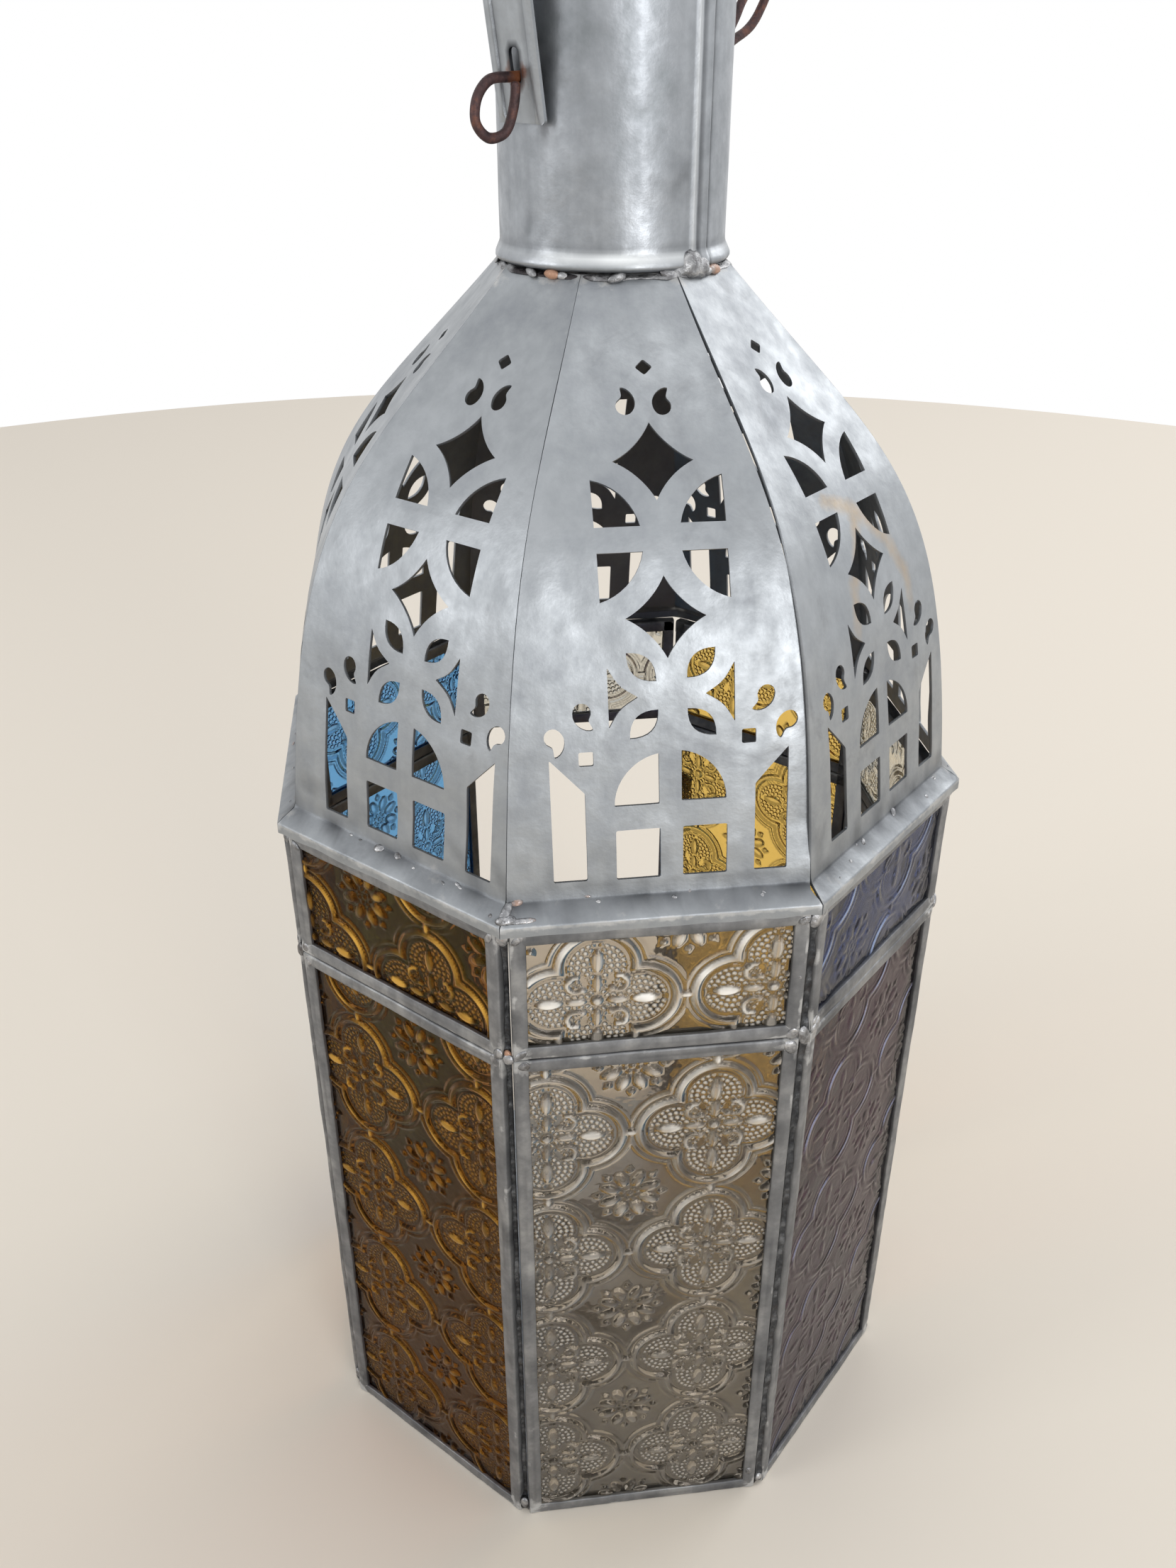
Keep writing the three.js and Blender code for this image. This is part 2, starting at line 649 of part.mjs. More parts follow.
function handleStrap() {
  const half = STRAP_WIDTH / 2;
  const outer = STRAP_THICKNESS;
  const band = solidOf(extrudeAlongY(strapOutline(0, outer), -half, half, 10));
  const hemOutline = strapOutline(0, outer + STRAP_HEM_PROUD);
  const nearHem = solidOf(extrudeAlongY(hemOutline, -half, -half + STRAP_HEM, 10));
  const farHem = solidOf(extrudeAlongY(hemOutline, half - STRAP_HEM, half, 10));
  const slotShape = new THREE.Shape();
  const rise = STRAP_SLOT - 2 * WIRE_HOLE;
  slotShape.absarc(0, 0, WIRE_HOLE, Math.PI, 2 * Math.PI, false);
  slotShape.absarc(0, rise, WIRE_HOLE, 0, Math.PI, false);
  slotShape.closePath();
  const slot = extrudeAlongY(slotShape, -2 * NECK_RADIUS, 2 * NECK_RADIUS, 3);
  slot.rotateZ(Math.PI / 2);
  slot.translate(0, 0, PIVOT_HEIGHT);
  return geometryOf(band.add(nearHem).add(farHem).subtract(solidOf(slot)));
}

// Wire eye: clinched inside the neck, out through the strap, then a drop-shaped loop, on the +x side
function wireEye({ length, width, droop, shoulder }) {
  const strapFace = NECK_RADIUS + STRAP_STANDOFF + STRAP_THICKNESS + STRAP_TAIL * Math.tan(radians(STRAP_LEAN));
  const inside = NECK_RADIUS - SHEET - WIRE_DIAMETER;
  const cos = Math.cos(radians(droop));
  const sin = Math.sin(radians(droop));
  const hand = Math.sign(droop);
  const loopPoint = (along, aside) => new THREE.Vector3(
    strapFace + WIRE_RADIUS + along * cos + hand * aside * sin,
    0,
    PIVOT_HEIGHT - along * sin + hand * aside * cos,
  );
  const half = width / 2;
  const curve = new THREE.CatmullRomCurve3([
    new THREE.Vector3(inside, 0, PIVOT_HEIGHT - 3 * WIRE_DIAMETER),
    new THREE.Vector3(inside, 0, PIVOT_HEIGHT - WIRE_DIAMETER),
    new THREE.Vector3(inside + WIRE_DIAMETER, 0, PIVOT_HEIGHT),
    new THREE.Vector3(NECK_RADIUS, 0, PIVOT_HEIGHT),
    new THREE.Vector3(strapFace, 0, PIVOT_HEIGHT),
    new THREE.Vector3(strapFace + WIRE_RADIUS, 0, PIVOT_HEIGHT),
    loopPoint(length * 0.34, half * shoulder),
    loopPoint(length * 0.66, half),
    loopPoint(length * 0.94, half * 0.5),
    loopPoint(length * 0.96, -half * 0.35),
    loopPoint(length * 0.72, -half * 0.85),
    loopPoint(length * 0.34, -half * 0.5),
  ], false, 'centripetal');
  const section = new THREE.Shape();
  section.absarc(0, 0, WIRE_RADIUS, 0, 2 * Math.PI, false);
  const steps = Math.round(curve.getLength() / WIRE_STEP);
  return new THREE.ExtrudeGeometry(section, { steps, extrudePath: curve, curveSegments: 4 });
}

function addNeckAndHandle() {
  addPiece(lantern, 'neck_tube', neckTube(), neckMetal);
  addPiece(lantern, 'neck_solder', neckSolder(), solderMetal);
  const turnedGroup = addGroup(lantern);
  turnedGroup.rotation.z = radians(HANDLE_TURN);
  addPiece(turnedGroup, 'handle_strap', handleStrap(), sheetMetal);
  addPiece(turnedGroup, 'wire_eye_right', wireEye(EYE_RIGHT), rustyWire);
  const farSide = addGroup(turnedGroup);
  farSide.rotation.z = Math.PI;
  addPiece(farSide, 'wire_eye_left', wireEye(EYE_LEFT), rustyWire);
}

// Door

// Hinge axis, outside the corner where the back face meets the back right one
const hingeRadius = BODY_APOTHEM * CORNER_STRETCH + HINGE_OUTSET;
const hingeAngle = Math.PI / 2 - HALF_TURN;
const hingeX = hingeRadius * Math.cos(hingeAngle);
const hingeY = hingeRadius * Math.sin(hingeAngle);
const hingeHeights = { lower: HINGE_FROM_END, upper: LOWER_HEIGHT - HINGE_FROM_END };

// Section of a leaf with its knuckle about the origin, lying along -x on a face that looks to +y
function leafSection() {
  const face = BODY_APOTHEM + SEAT_GAP - hingeY;
  const back = face + HINGE_LEAF_THICKNESS;
  const reach = FRAME_WIDTH / 2 - hingeX - HINGE_LEAF_WIDTH;
  const shape = new THREE.Shape();
  shape.moveTo(reach, face);
  shape.lineTo(-Math.sqrt(KNUCKLE_RADIUS ** 2 - face ** 2), face);
  shape.absarc(
    0, 0, KNUCKLE_RADIUS,
    Math.PI - Math.asin(face / KNUCKLE_RADIUS), 3 * Math.PI - Math.asin(back / KNUCKLE_RADIUS), false,
  );
  shape.lineTo(reach, back);
  shape.closePath();
  const bore = new THREE.Path();
  bore.absarc(0, 0, HINGE_PIN_RADIUS + HINGE_PIN_CLEARANCE, 0, 2 * Math.PI, true);
  shape.holes.push(bore);
  return shape;
}

function doorLeaf() {
  return extrudeAlongZ(leafSection(), -KNUCKLE_LENGTH / 2, KNUCKLE_LENGTH / 2, 7);
}

// The post's leaf holds two knuckles, above and below the door's one
function postLeaf() {
  const low = KNUCKLE_LENGTH / 2 + SEAT_GAP;
  const high = low + KNUCKLE_LENGTH;
  const knuckle = (from, to) => solidOf(extrudeAlongZ(leafSection(), from, to, 7));
  const spine = new THREE.BoxGeometry(HINGE_LEAF_WIDTH / 2, HINGE_LEAF_THICKNESS, 2 * high);
  spine.translate(
    FRAME_WIDTH / 2 - hingeX - HINGE_LEAF_WIDTH * 0.75,
    BODY_APOTHEM + SEAT_GAP + HINGE_LEAF_THICKNESS / 2 - hingeY,
    0,
  );
  const leafOfTwo = knuckle(-high, -low).add(knuckle(low, high)).add(solidOf(spine));
  return geometryOf(leafOfTwo.mirror([1, 0, 0]));
}

// One wire through both hinges, with a turned-over top
function hingeWire() {
  const low = hingeHeights.lower - 1.5 * KNUCKLE_LENGTH - 2 * SEAT_GAP;
  const high = hingeHeights.upper + 1.5 * KNUCKLE_LENGTH + 2 * SEAT_GAP;
  const head = KNUCKLE_RADIUS * 0.85;
  return turned([
    [0, low],
    [HINGE_PIN_RADIUS, low],
    [HINGE_PIN_RADIUS, high],
    [head, high],
    [head, high + head / 2],
    [head / 2, high + head],
    [0, high + head],
  ], 10);
}

function addDoor() {
  const axis = addGroup(lantern);
  axis.position.set(hingeX, hingeY, 0);
  const swung = addGroup(axis);
  swung.rotation.z = -radians(DOOR_OPEN);
  const post = addGroup(axis);
  post.rotation.z = -TURN;
  Object.entries(hingeHeights).forEach(([place, height]) => {
    addPiece(swung, `hinge_leaf_door_${place}`, doorLeaf(), sheetMetal).position.z = height;
    addPiece(post, `hinge_leaf_post_${place}`, postLeaf(), sheetMetal).position.z = height;
  });
  addPiece(axis, 'hinge_wire', hingeWire(), rustyWire);
  const closed = addGroup(swung);
  closed.position.set(-hingeX, -hingeY, 0);
  const doorHeight = LOWER_HEIGHT - DOOR_LIFT - DOOR_CLEARANCE + SEAT_GAP;
  addFramedPane(
    addFace(closed, DOOR_FACE), { frame: 'door_frame', pane: 'door_pane' },
    doorHeight, DOOR_LIFT, PANE_COLOURS[DOOR_FACE % PANE_COLOURS.length],
  );
}

// Turn button on the bottom bar of the back band frame, lying level out of the door's way

function turnButton() {
  const shape = new THREE.Shape();
  const half = BUTTON_WIDTH / 2;
  shape.absarc(0, 0, half, Math.PI / 2, (3 * Math.PI) / 2, false);
  shape.lineTo(BUTTON_REACH - half, -half);
  shape.absarc(BUTTON_REACH - half, 0, half, -Math.PI / 2, Math.PI / 2, false);
  shape.closePath();
  const hole = new THREE.Path();
  hole.absarc(0, 0, RIVET_RADIUS + SEAT_GAP, 0, 2 * Math.PI, true);
  shape.holes.push(hole);
  return extrudeAlongY(shape, -BUTTON_THICKNESS, 0, 5);
}

function buttonRivet() {
  const shank = BUTTON_THICKNESS + 2 * SEAT_GAP;
  const rivet = turned([
    [0, 0],
    [RIVET_RADIUS, 0],
    [RIVET_RADIUS, shank],
    [RIVET_HEAD_RADIUS, shank],
    [RIVET_HEAD_RADIUS * 0.7, shank + RIVET_HEAD],
    [0, shank + RIVET_HEAD],
  ], 12);
  rivet.rotateX(Math.PI / 2);
  return rivet;
}

function addTurnButton() {
  const group = addGroup(addFace(lantern, DOOR_FACE));
  group.position.set(0, -BODY_APOTHEM - SEAT_GAP, BAND_FOOT + CAME_BAR / 2);
  addPiece(group, 'button_rivet', buttonRivet(), neckMetal);
  addPiece(group, 'turn_button', turnButton(), sheetMetal).position.y = -SEAT_GAP;
}

// Solder run deep in the groove between two neighbouring faces, on the corner after face `corner`

function grooveRun() {
  const near = INNER_APOTHEM * CORNER_STRETCH;
  const spread = Math.tan(HALF_TURN);
  const slack = SOLDER_SHY / Math.cos(HALF_TURN);
  const half = (radius) => (radius - near) * spread + SEAT_GAP / 2 / Math.cos(HALF_TURN) - slack;
  const start = near + SOLDER_START;
  const end = start + SOLDER_DEPTH;
  const shape = new THREE.Shape();
  shape.moveTo(start, -half(start));
  shape.lineTo(end, -half(end));
  shape.lineTo(end, half(end));
  shape.lineTo(start, half(start));
  shape.closePath();
  return extrudeAlongZ(shape, SEAT_GAP, FRAME_TOP);
}

function addCornerSolder() {
  FACE_NAMES.forEach((face, index) => {
    const next = (index + 1) % FACES;
    if (index === DOOR_FACE || next === DOOR_FACE) return;
    const group = addGroup(lantern);
    group.rotation.z = -Math.PI / 2 - (index + 0.5) * TURN;
    addPiece(group, `corner_solder_${face}_to_${FACE_NAMES[next]}`, grooveRun(), solderMetal);
  });
}

addPiece(lantern, 'base_plate', basePlate(), sheetMetal);
addPiece(lantern, 'candle_cup', candleCup(), sheetMetal);
addBody();
addCornerSolder();
addDome();
addNeckAndHandle();
addDoor();
addTurnButton();

export default lantern;
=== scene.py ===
"""Oriental candle lantern, dressed over its CAD frame. Lengths below are millimetres, as in the part's source."""
import math

import bpy
import numpy as np
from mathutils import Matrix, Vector
from mathutils.geometry import delaunay_2d_cdt


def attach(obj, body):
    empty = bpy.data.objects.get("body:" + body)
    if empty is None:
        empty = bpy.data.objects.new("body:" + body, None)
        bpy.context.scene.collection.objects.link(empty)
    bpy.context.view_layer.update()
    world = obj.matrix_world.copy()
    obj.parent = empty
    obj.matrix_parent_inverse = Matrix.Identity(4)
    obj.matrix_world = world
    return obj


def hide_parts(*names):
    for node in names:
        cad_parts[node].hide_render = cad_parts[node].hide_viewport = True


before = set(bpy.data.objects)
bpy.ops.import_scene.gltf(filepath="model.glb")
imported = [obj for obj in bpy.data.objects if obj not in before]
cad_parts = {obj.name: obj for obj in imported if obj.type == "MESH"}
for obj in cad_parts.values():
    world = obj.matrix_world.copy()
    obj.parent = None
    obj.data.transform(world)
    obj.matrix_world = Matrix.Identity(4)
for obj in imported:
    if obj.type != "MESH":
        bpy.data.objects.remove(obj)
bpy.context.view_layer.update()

MM = 0.001

# Body, frames and panes
FACES = 8
TURN = 2 * math.pi / FACES
HALF_TURN = TURN / 2
BODY_APOTHEM = 95
LOWER_HEIGHT = 193.7
BAND_HEIGHT = 40
SEAT_GAP = 0.3
CAME_BAR = 4
CAME_DEPTH = 4
CAME_FLANGE = 0.6
GLASS_THICKNESS = 2.4
GLASS_BITE = 2
INNER_APOTHEM = BODY_APOTHEM - CAME_DEPTH
FRAME_WIDTH = 2 * INNER_APOTHEM * math.tan(HALF_TURN) - SEAT_GAP
BAND_FOOT = LOWER_HEIGHT + SEAT_GAP
FRAME_TOP = BAND_FOOT + BAND_HEIGHT
FACE_NAMES = ["front", "front_left", "left", "back_left", "back", "back_right", "right", "front_right"]
DOOR_FACE = 4
PANE_COLOURS = ["clear", "amber", "clear", "blue"]

# Rolled pattern of the glass: medallions on a square pitch, with a rosette between each four. A drop, a petal and
# a rosette's petal are lenses: how far out the middle is, half the length, half the width.
PATTERN_PITCH = 45.6
RELIEF_STEP = 0.45
PANE_RECESS = 0.6
LOBE_OFFSET = 10.6
LOBE_RADIUS = 9.9
LOBES = np.array([(LOBE_OFFSET, 0), (0, LOBE_OFFSET), (-LOBE_OFFSET, 0), (0, -LOBE_OFFSET)])
DROP = (12.3, 4.2, 1.7)
PETAL = (5.3, 3.0, 1.35)
ROSETTE_PETAL = (5.9, 2.9, 1.7)
CURL_CENTRE = 5.4
CURL_RADIUS = 2.3
BEAD_PITCH = 1.62
BEAD_RADIUS = 0.76
FIRST_BEADS = 6.7          # radius of a lobe's outermost row of beads
# Where a medallion's middle stands on each face's lower and band pane, and the pitch up the pane
PANE_PHASE = {
    "front": (16.3, 24.7, 46.7), "front_left": (27.6, 111.8, 45.1), "left": (4.0, 31.0, 45.6),
    "back_left": (-11.0, 18.0, 45.6), "back": (9.0, 27.0, 45.6), "back_right": (-20.0, 36.0, 45.6),
    "right": (14.0, 12.0, 45.6), "front_right": (-9.7, 145.0, 46.5),
}
BAND_PHASE = {
    "front": (-15.8, 210.6, 46.0), "front_left": (12.6, 200.5, 46.0), "left": (-12.0, 207.0, 46.0),
    "back_left": (17.0, 221.0, 46.0), "back": (-3.0, 212.0, 46.0), "back_right": (12.0, 219.0, 46.0),
    "right": (-19.0, 209.0, 46.0), "front_right": (7.8, 185.5, 46.0),
}

# Dome
SHEET = 0.8
DOME_HEIGHT = 133
LEDGE_WIDTH = 4
LEDGE_LIFT = 6.2
LEDGE_DROP = 3.6
LIP_OVERLAP = 0.5
DOME_FOOT = FRAME_TOP + LEDGE_LIFT
DOME_TOP = DOME_FOOT + DOME_HEIGHT
DOME_BASE_APOTHEM = BODY_APOTHEM - LEDGE_WIDTH
NECK_RADIUS = 28.2
NECK_OVERHANG = 0.7
DOME_TOP_APOTHEM = NECK_RADIUS - NECK_OVERHANG
SHOULDER_LOW = (DOME_BASE_APOTHEM - 8.5, DOME_FOOT + 86)
SHOULDER_HIGH = (DOME_BASE_APOTHEM - 21.5, DOME_FOOT + 85.5)
PANEL_HALF_WIDTH = DOME_BASE_APOTHEM * math.tan(HALF_TURN)
SHEET_STEP = 1.8

# Cut-outs of a dome panel, on the flat sheet: x from the pattern's middle line, s up from its foot
PATTERN_FOOT = 4.6
PATTERN_SHIFT = 2.6
PATTERN_LEAN = 0.013
ARCH_CENTRE = (0.6, 19.6)
ARCH_RADIUS = 12.9
ARCH_START = 2.7
SLOT_OUTER = PANEL_HALF_WIDTH - 8.9
SLOT_INNER = SLOT_OUTER - 8.2
FLOWER_S = 45.9
FLOWER_SHIFT = 0.7
STAR_LOW_S, STAR_HIGH_S = 63.7, 99.8
STAR_HALF, STAR_BOW = 9.4, 18.9
RING_CENTRE_X, RING_RADIUS, RING_CHORD_X, RING_HALF_BAR = 18.9, 14.7, 15.1, 3.1
TIP_DIAMOND_S, TIP_DIAMOND_HALF = 123.4, 2.1
PIN_SQUARE_HALF = 1.75
# How far each panel's pattern is off its place, across and up
PANEL_SHIFT = {
    "front": (0, 0), "front_left": (0.9, -0.9), "left": (-0.5, 0.4), "back_left": (-1.6, 0.2),
    "back": (-2.2, -0.4), "back_right": (-1.0, 0.6), "right": (-2.0, 0.1), "front_right": (-0.6, 1.3),
}
# Brown water stain on the front right panel, along the lattice: points on the flat sheet
STAIN = [
    [(-7, 88), (3.5, 83.5), (9, 78), (14, 73), (20, 62), (20.5, 52)],
    [(3.5, 83.5), (0.5, 78), (-2.5, 72), (-7, 65), (-8.5, 52)],
]

# Neck and handle
NECK_HEIGHT = 71.5
NECK_FOOT = DOME_TOP + SEAT_GAP
NECK_TOP = NECK_FOOT + NECK_HEIGHT
NECK_RIM_ROLL = 1.3
SEAM_AT = -52.2            # degrees round the neck, of its lock seam
PIVOT_BELOW_RIM = 31
PIVOT_HEIGHT = NECK_TOP - PIVOT_BELOW_RIM
HANDLE_TURN = math.radians(37)
STRAP_WIDTH = 15.6
STRAP_THICKNESS = 0.9
STRAP_HEM = 2.6
STRAP_HEM_PROUD = 0.7
STRAP_TAIL = 9.3
STRAP_LEG = 50
STRAP_LEAN = math.radians(9)
STRAP_STANDOFF = 0.4
STRAP_SLOT = 7.5
WIRE_DIAMETER = 2.3
WIRE_CLEARANCE = 0.4
WIRE_HOLE = WIRE_DIAMETER / 2 + WIRE_CLEARANCE
WIRE_SIDES = 14

# Solder deep in the groove at each corner
CORNER_STRETCH = 1 / math.cos(HALF_TURN)
GROOVE_FOOT = INNER_APOTHEM * CORNER_STRETCH
GROOVE_START = GROOVE_FOOT + 1.2
GROOVE_DEPTH = 2.2
GROOVE_FILL = {0: 0.1, 1: 0.3, 2: 0.45, 5: 0.5, 6: 0.35, 7: 0.65}

# Door
DOOR_OPEN = math.radians(105)
DOOR_LIFT = 1
DOOR_CLEARANCE = 0.5
DOOR_HEIGHT = LOWER_HEIGHT - DOOR_LIFT - DOOR_CLEARANCE + SEAT_GAP
HINGE_OUTSET = 0.42
HINGE_RADIUS = BODY_APOTHEM / math.cos(HALF_TURN) + HINGE_OUTSET
HINGE_ANGLE = math.pi / 2 - HALF_TURN
HINGE = np.array([HINGE_RADIUS * math.cos(HINGE_ANGLE), HINGE_RADIUS * math.sin(HINGE_ANGLE)])

# Surroundings, in metres
FLOOR_RADIUS = 1.45
FLOOR_CORNERS = 128
WORLD_LIGHT, WORLD_SEEN = 0.68, 1.0
# Each soft box: where it stands, what it is aimed at, its size and its power in watts
LAMPS = {
    "tall_window": ((0.986, -2.726, 0.793), (0, 0, 0.3), (0.87, 1.74), 26.3),
    "skylight": ((0.45, 0.3, 1.75), (0, 0, 0.35), (1.2, 1.2), 6),
    "left_fill": ((-2.45, -0.7, 1.11), (0, 0, 0.2), (0.7, 1.26), 11.8),
    "right_fill": ((2.27, 1.33, 1.47), (0, 0, 0.35), (1.4, 1.26), 17.6),
}
CAMERA_PLACE = (-0.05153, -0.35441, 0.42384)
CAMERA_DOWN, CAMERA_TURN = 29.745, -7.296
PHOTO_FOCAL, PHOTO_HEIGHT, SENSOR = 1871.7, 2212, 36


# ---------------------------------------------------------------- small sums

def ramp(value, start, width):
    """0 up to `start`, then rising to 1 over `width`."""
    return np.clip((value - start) / width, 0, 1)


def positive(value):
    """The value, or 0 where it is below."""
    return np.clip(value, 0, None)


def highest(*layers):
    """The highest of several layers at each point."""
    return np.maximum.reduce(layers)


def bell(value, middle, half, power=2):
    """A smooth bump: 1 at the middle and nearly 0 at twice `half` from it; the larger the power the flatter its top."""
    return np.exp(-((value - middle) / half) ** power)


def ridge(distance, centre, half):
    """A rounded ridge across `distance`: cos squared, 1 at the centre and 0 from `half` away."""
    return np.cos(np.pi / 2 * np.clip((distance - centre) / half, -1, 1)) ** 2


def waves(seed, size, *where):
    """Uneven handwork: seven sine waves of seeded direction and phase, about `size` mm long, together from -1 to 1."""
    rng = np.random.default_rng(seed)
    total = 0.0
    for _ in range(7):
        direction = rng.normal(size=len(where))
        direction *= 2 * math.pi / (size * rng.uniform(0.7, 1.7) * np.linalg.norm(direction))
        total = total + np.sin(sum(d * w for d, w in zip(direction, where)) + rng.uniform(0, 6.28))
    return total / 4


def circle(count):
    """Angles evenly spaced once round."""
    return np.linspace(0, 2 * math.pi, count + 1)[:-1]


def signed_degrees(angle):
    """An angle in degrees, from -180 to 180."""
    return (np.degrees(angle) + 180) % 360 - 180


def cos_sin(degrees):
    """Cosine and sine of an angle in degrees."""
    return math.cos(math.radians(degrees)), math.sin(math.radians(degrees))


def run_along(points):
    """Length along a line of points, from its first to each one."""
    return np.concatenate([[0], np.cumsum(np.linalg.norm(np.diff(points, axis=0), axis=1))])


# ---------------------------------------------------------------- shapes from arrays

def grid_faces(rows, columns, close_rows=False, close_columns=False):
    """Quads between neighbouring points of a rows x columns grid, wrapped round where it closes."""
    i, j = np.meshgrid(
        np.arange(rows if close_rows else rows - 1),
        np.arange(columns if close_columns else columns - 1), indexing="ij",
    )
    a, b = i * columns + j, i * columns + (j + 1) % columns
    c, d = ((i + 1) % rows) * columns + (j + 1) % columns, ((i + 1) % rows) * columns + j
    return np.stack([a, b, c, d], -1).reshape(-1, 4)


def end_faces(rows, columns, turned_over=True):
    """One face on the first ring of a tube and one on its last, looking away from each other."""
    first, last = np.arange(columns), (rows - 1) * columns + np.arange(columns)
    return [(first[::-1] if turned_over else first)[None, :], (last if turned_over else last[::-1])[None, :]]


def turned(points, angle, centre=(0, 0)):
    """Points turned about the upright line through `centre`."""
    c, s = math.cos(angle), math.sin(angle)
    x, y = points[..., 0] - centre[0], points[..., 1] - centre[1]
    return np.stack([c * x - s * y + centre[0], s * x + c * y + centre[1], points[..., 2]], -1)


def to_face(points, index):
    """Points of the front face carried round to face `index`."""
    return turned(points, -index * TURN)


def to_door(points):
    """Points of the front face carried to the door, which stands open on its hinges."""
    return turned(turned(points, -DOOR_FACE * TURN), -DOOR_OPEN, HINGE)


def rounded(outline, radius, steps=3, closed=True):
    """An outline with each corner replaced by a quadratic curve that starts `radius` before it."""
    p = np.asarray(outline, float)
    before, after = np.roll(p, 1, 0) - p, np.roll(p, -1, 0) - p

    def reach(side):
        share = np.broadcast_to(radius, len(p)) / np.maximum(np.linalg.norm(side, axis=1), 1e-9)
        return side * np.minimum(share, 0.45)[:, None]

    start, end = p + reach(before), p + reach(after)
    t = np.linspace(0, 1, steps + 1)[:, None, None]
    curve = ((1 - t) ** 2 * start + 2 * t * (1 - t) * p + t ** 2 * end).transpose(1, 0, 2)
    if not closed:
        return np.concatenate([p[:1], curve[1:-1].reshape(-1, 2), p[-1:]])
    return curve.reshape(-1, 2)


def rectangle(x0, x1, s0, s1):
    """Corners of an upright rectangle."""
    return [(x0, s0), (x1, s0), (x1, s1), (x0, s1)]


def resampled(outline, step):
    """A closed outline with points added so that no side is much longer than `step`."""
    p = np.asarray(outline, float)
    sides = []
    for a, b in zip(p, np.roll(p, -1, 0)):
        n = max(1, int(np.ceil(np.linalg.norm(b - a) / step)))
        sides.append(a + (b - a) * (np.arange(n) / n)[:, None])
    return np.concatenate(sides)


def inside(points, outline):
    """Even-odd test of points against a closed outline."""
    x, y = points[:, :1], points[:, 1:]
    a, b = outline, np.roll(outline, -1, 0)
    crossing = (a[:, 1] > y) != (b[:, 1] > y)
    run = (b[:, 1] - a[:, 1])
    at = a[:, 0] + (y - a[:, 1]) * (b[:, 0] - a[:, 0]) / np.where(run == 0, 1e-12, run)
    return (crossing & (x < at)).sum(1) % 2 == 1


def distance_to(points, outline):
    """Distance of each point from the nearest side of a closed outline."""
    a, b = outline, np.roll(outline, -1, 0)
    side = b - a
    t = ((points[:, None] - a) * side).sum(-1) / np.maximum((side ** 2).sum(-1), 1e-12)
    near = a + np.clip(t, 0, 1)[..., None] * side
    return np.linalg.norm(points[:, None] - near, axis=-1).min(1)


def add_piece(name, points, faces, material, body="lantern", stands_for=(), marks=None, sharp=40):
    """One mesh object from a points array in mm and lists of faces, riding on a CAD body."""
    mesh = bpy.data.meshes.new(name)
    co = np.asarray(points, float).reshape(-1, 3) * MM
    faces = [np.asarray(f, int) for f in (faces if isinstance(faces, list) else [faces])]
    counts = np.concatenate([np.full(len(f), f.shape[1]) for f in faces])
    loops = np.concatenate([f.ravel() for f in faces])
    mesh.vertices.add(len(co))
    mesh.vertices.foreach_set("co", co.ravel())
    mesh.loops.add(len(loops))
    mesh.loops.foreach_set("vertex_index", loops.astype(np.int32))
    mesh.polygons.add(len(counts))
    mesh.polygons.foreach_set("loop_start", np.concatenate([[0], np.cumsum(counts)[:-1]]).astype(np.int32))
    mesh.polygons.foreach_set("use_smooth", np.ones(len(counts), bool))
    mesh.update(calc_edges=True)
    mesh.set_sharp_from_angle(angle=math.radians(sharp))
    for key, values in (marks or {}).items():
        layer = mesh.attributes.new(key, "FLOAT", "POINT")
        layer.data.foreach_set("value", np.asarray(np.broadcast_to(values, len(co)), np.float32).ravel())
    mesh.materials.append(material)
    piece = bpy.data.objects.new(name, mesh)
    bpy.context.scene.collection.objects.link(piece)
    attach(piece, body)
    if stands_for:
        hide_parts(stands_for)
    return piece


def cut_sheet(outline, holes, grid, to_sheet):
    """Flat sheet with holes, triangulated and given its thickness.

    outline, holes: closed outlines on the flat sheet; grid: points inside it, of which those in a hole or
    close to an edge are left out. to_sheet(flat) returns the outer and inner points in space. The two skins
    are joined by a wall along every open edge. Returns points, faces, the flat sheet's points and their distance
    from the nearest edge.
    """
    edges_of = [outline, *holes]

    def on_sheet(points):
        return inside(points, outline) & ~np.any([inside(points, hole) for hole in holes], axis=0)

    def from_edge(points):
        return np.min([distance_to(points, o) for o in edges_of], axis=0)

    grid = grid[on_sheet(grid)]
    grid = grid[from_edge(grid) > 0.45]
    edges, start = [], 0
    for o in edges_of:
        n = np.arange(len(o))
        edges += np.stack([start + n, start + (n + 1) % len(o)], 1).tolist()
        start += len(o)
    made = delaunay_2d_cdt([tuple(p) for p in np.concatenate([*edges_of, grid])], edges, [], 0, 1e-5)
    flat = np.array([tuple(v) for v in made[0]])
    triangles = np.array(made[2])
    triangles = triangles[on_sheet(flat[triangles].mean(1))]
    a, b, c = (flat[triangles[:, k]] for k in range(3))
    area = (b[:, 0] - a[:, 0]) * (c[:, 1] - a[:, 1]) - (b[:, 1] - a[:, 1]) * (c[:, 0] - a[:, 0])
    triangles = np.where(area[:, None] > 0, triangles, triangles[:, ::-1])[np.abs(area) > 1e-9]
    used = np.unique(triangles)
    renumber = np.full(len(flat), -1)
    renumber[used] = np.arange(len(used))
    flat, triangles = flat[used], renumber[triangles]
    n = len(flat)
    sides = np.concatenate([triangles[:, [0, 1]], triangles[:, [1, 2]], triangles[:, [2, 0]]])
    open_sides = sides[~np.isin(sides[:, 0] * n + sides[:, 1], sides[:, 1] * n + sides[:, 0])]
    walls = np.stack([open_sides[:, 1], open_sides[:, 0], open_sides[:, 0] + n, open_sides[:, 1] + n], 1)
    return np.concatenate(to_sheet(flat)), [triangles, triangles[:, ::-1] + n, walls], flat, from_edge(flat)


# ---------------------------------------------------------------- materials

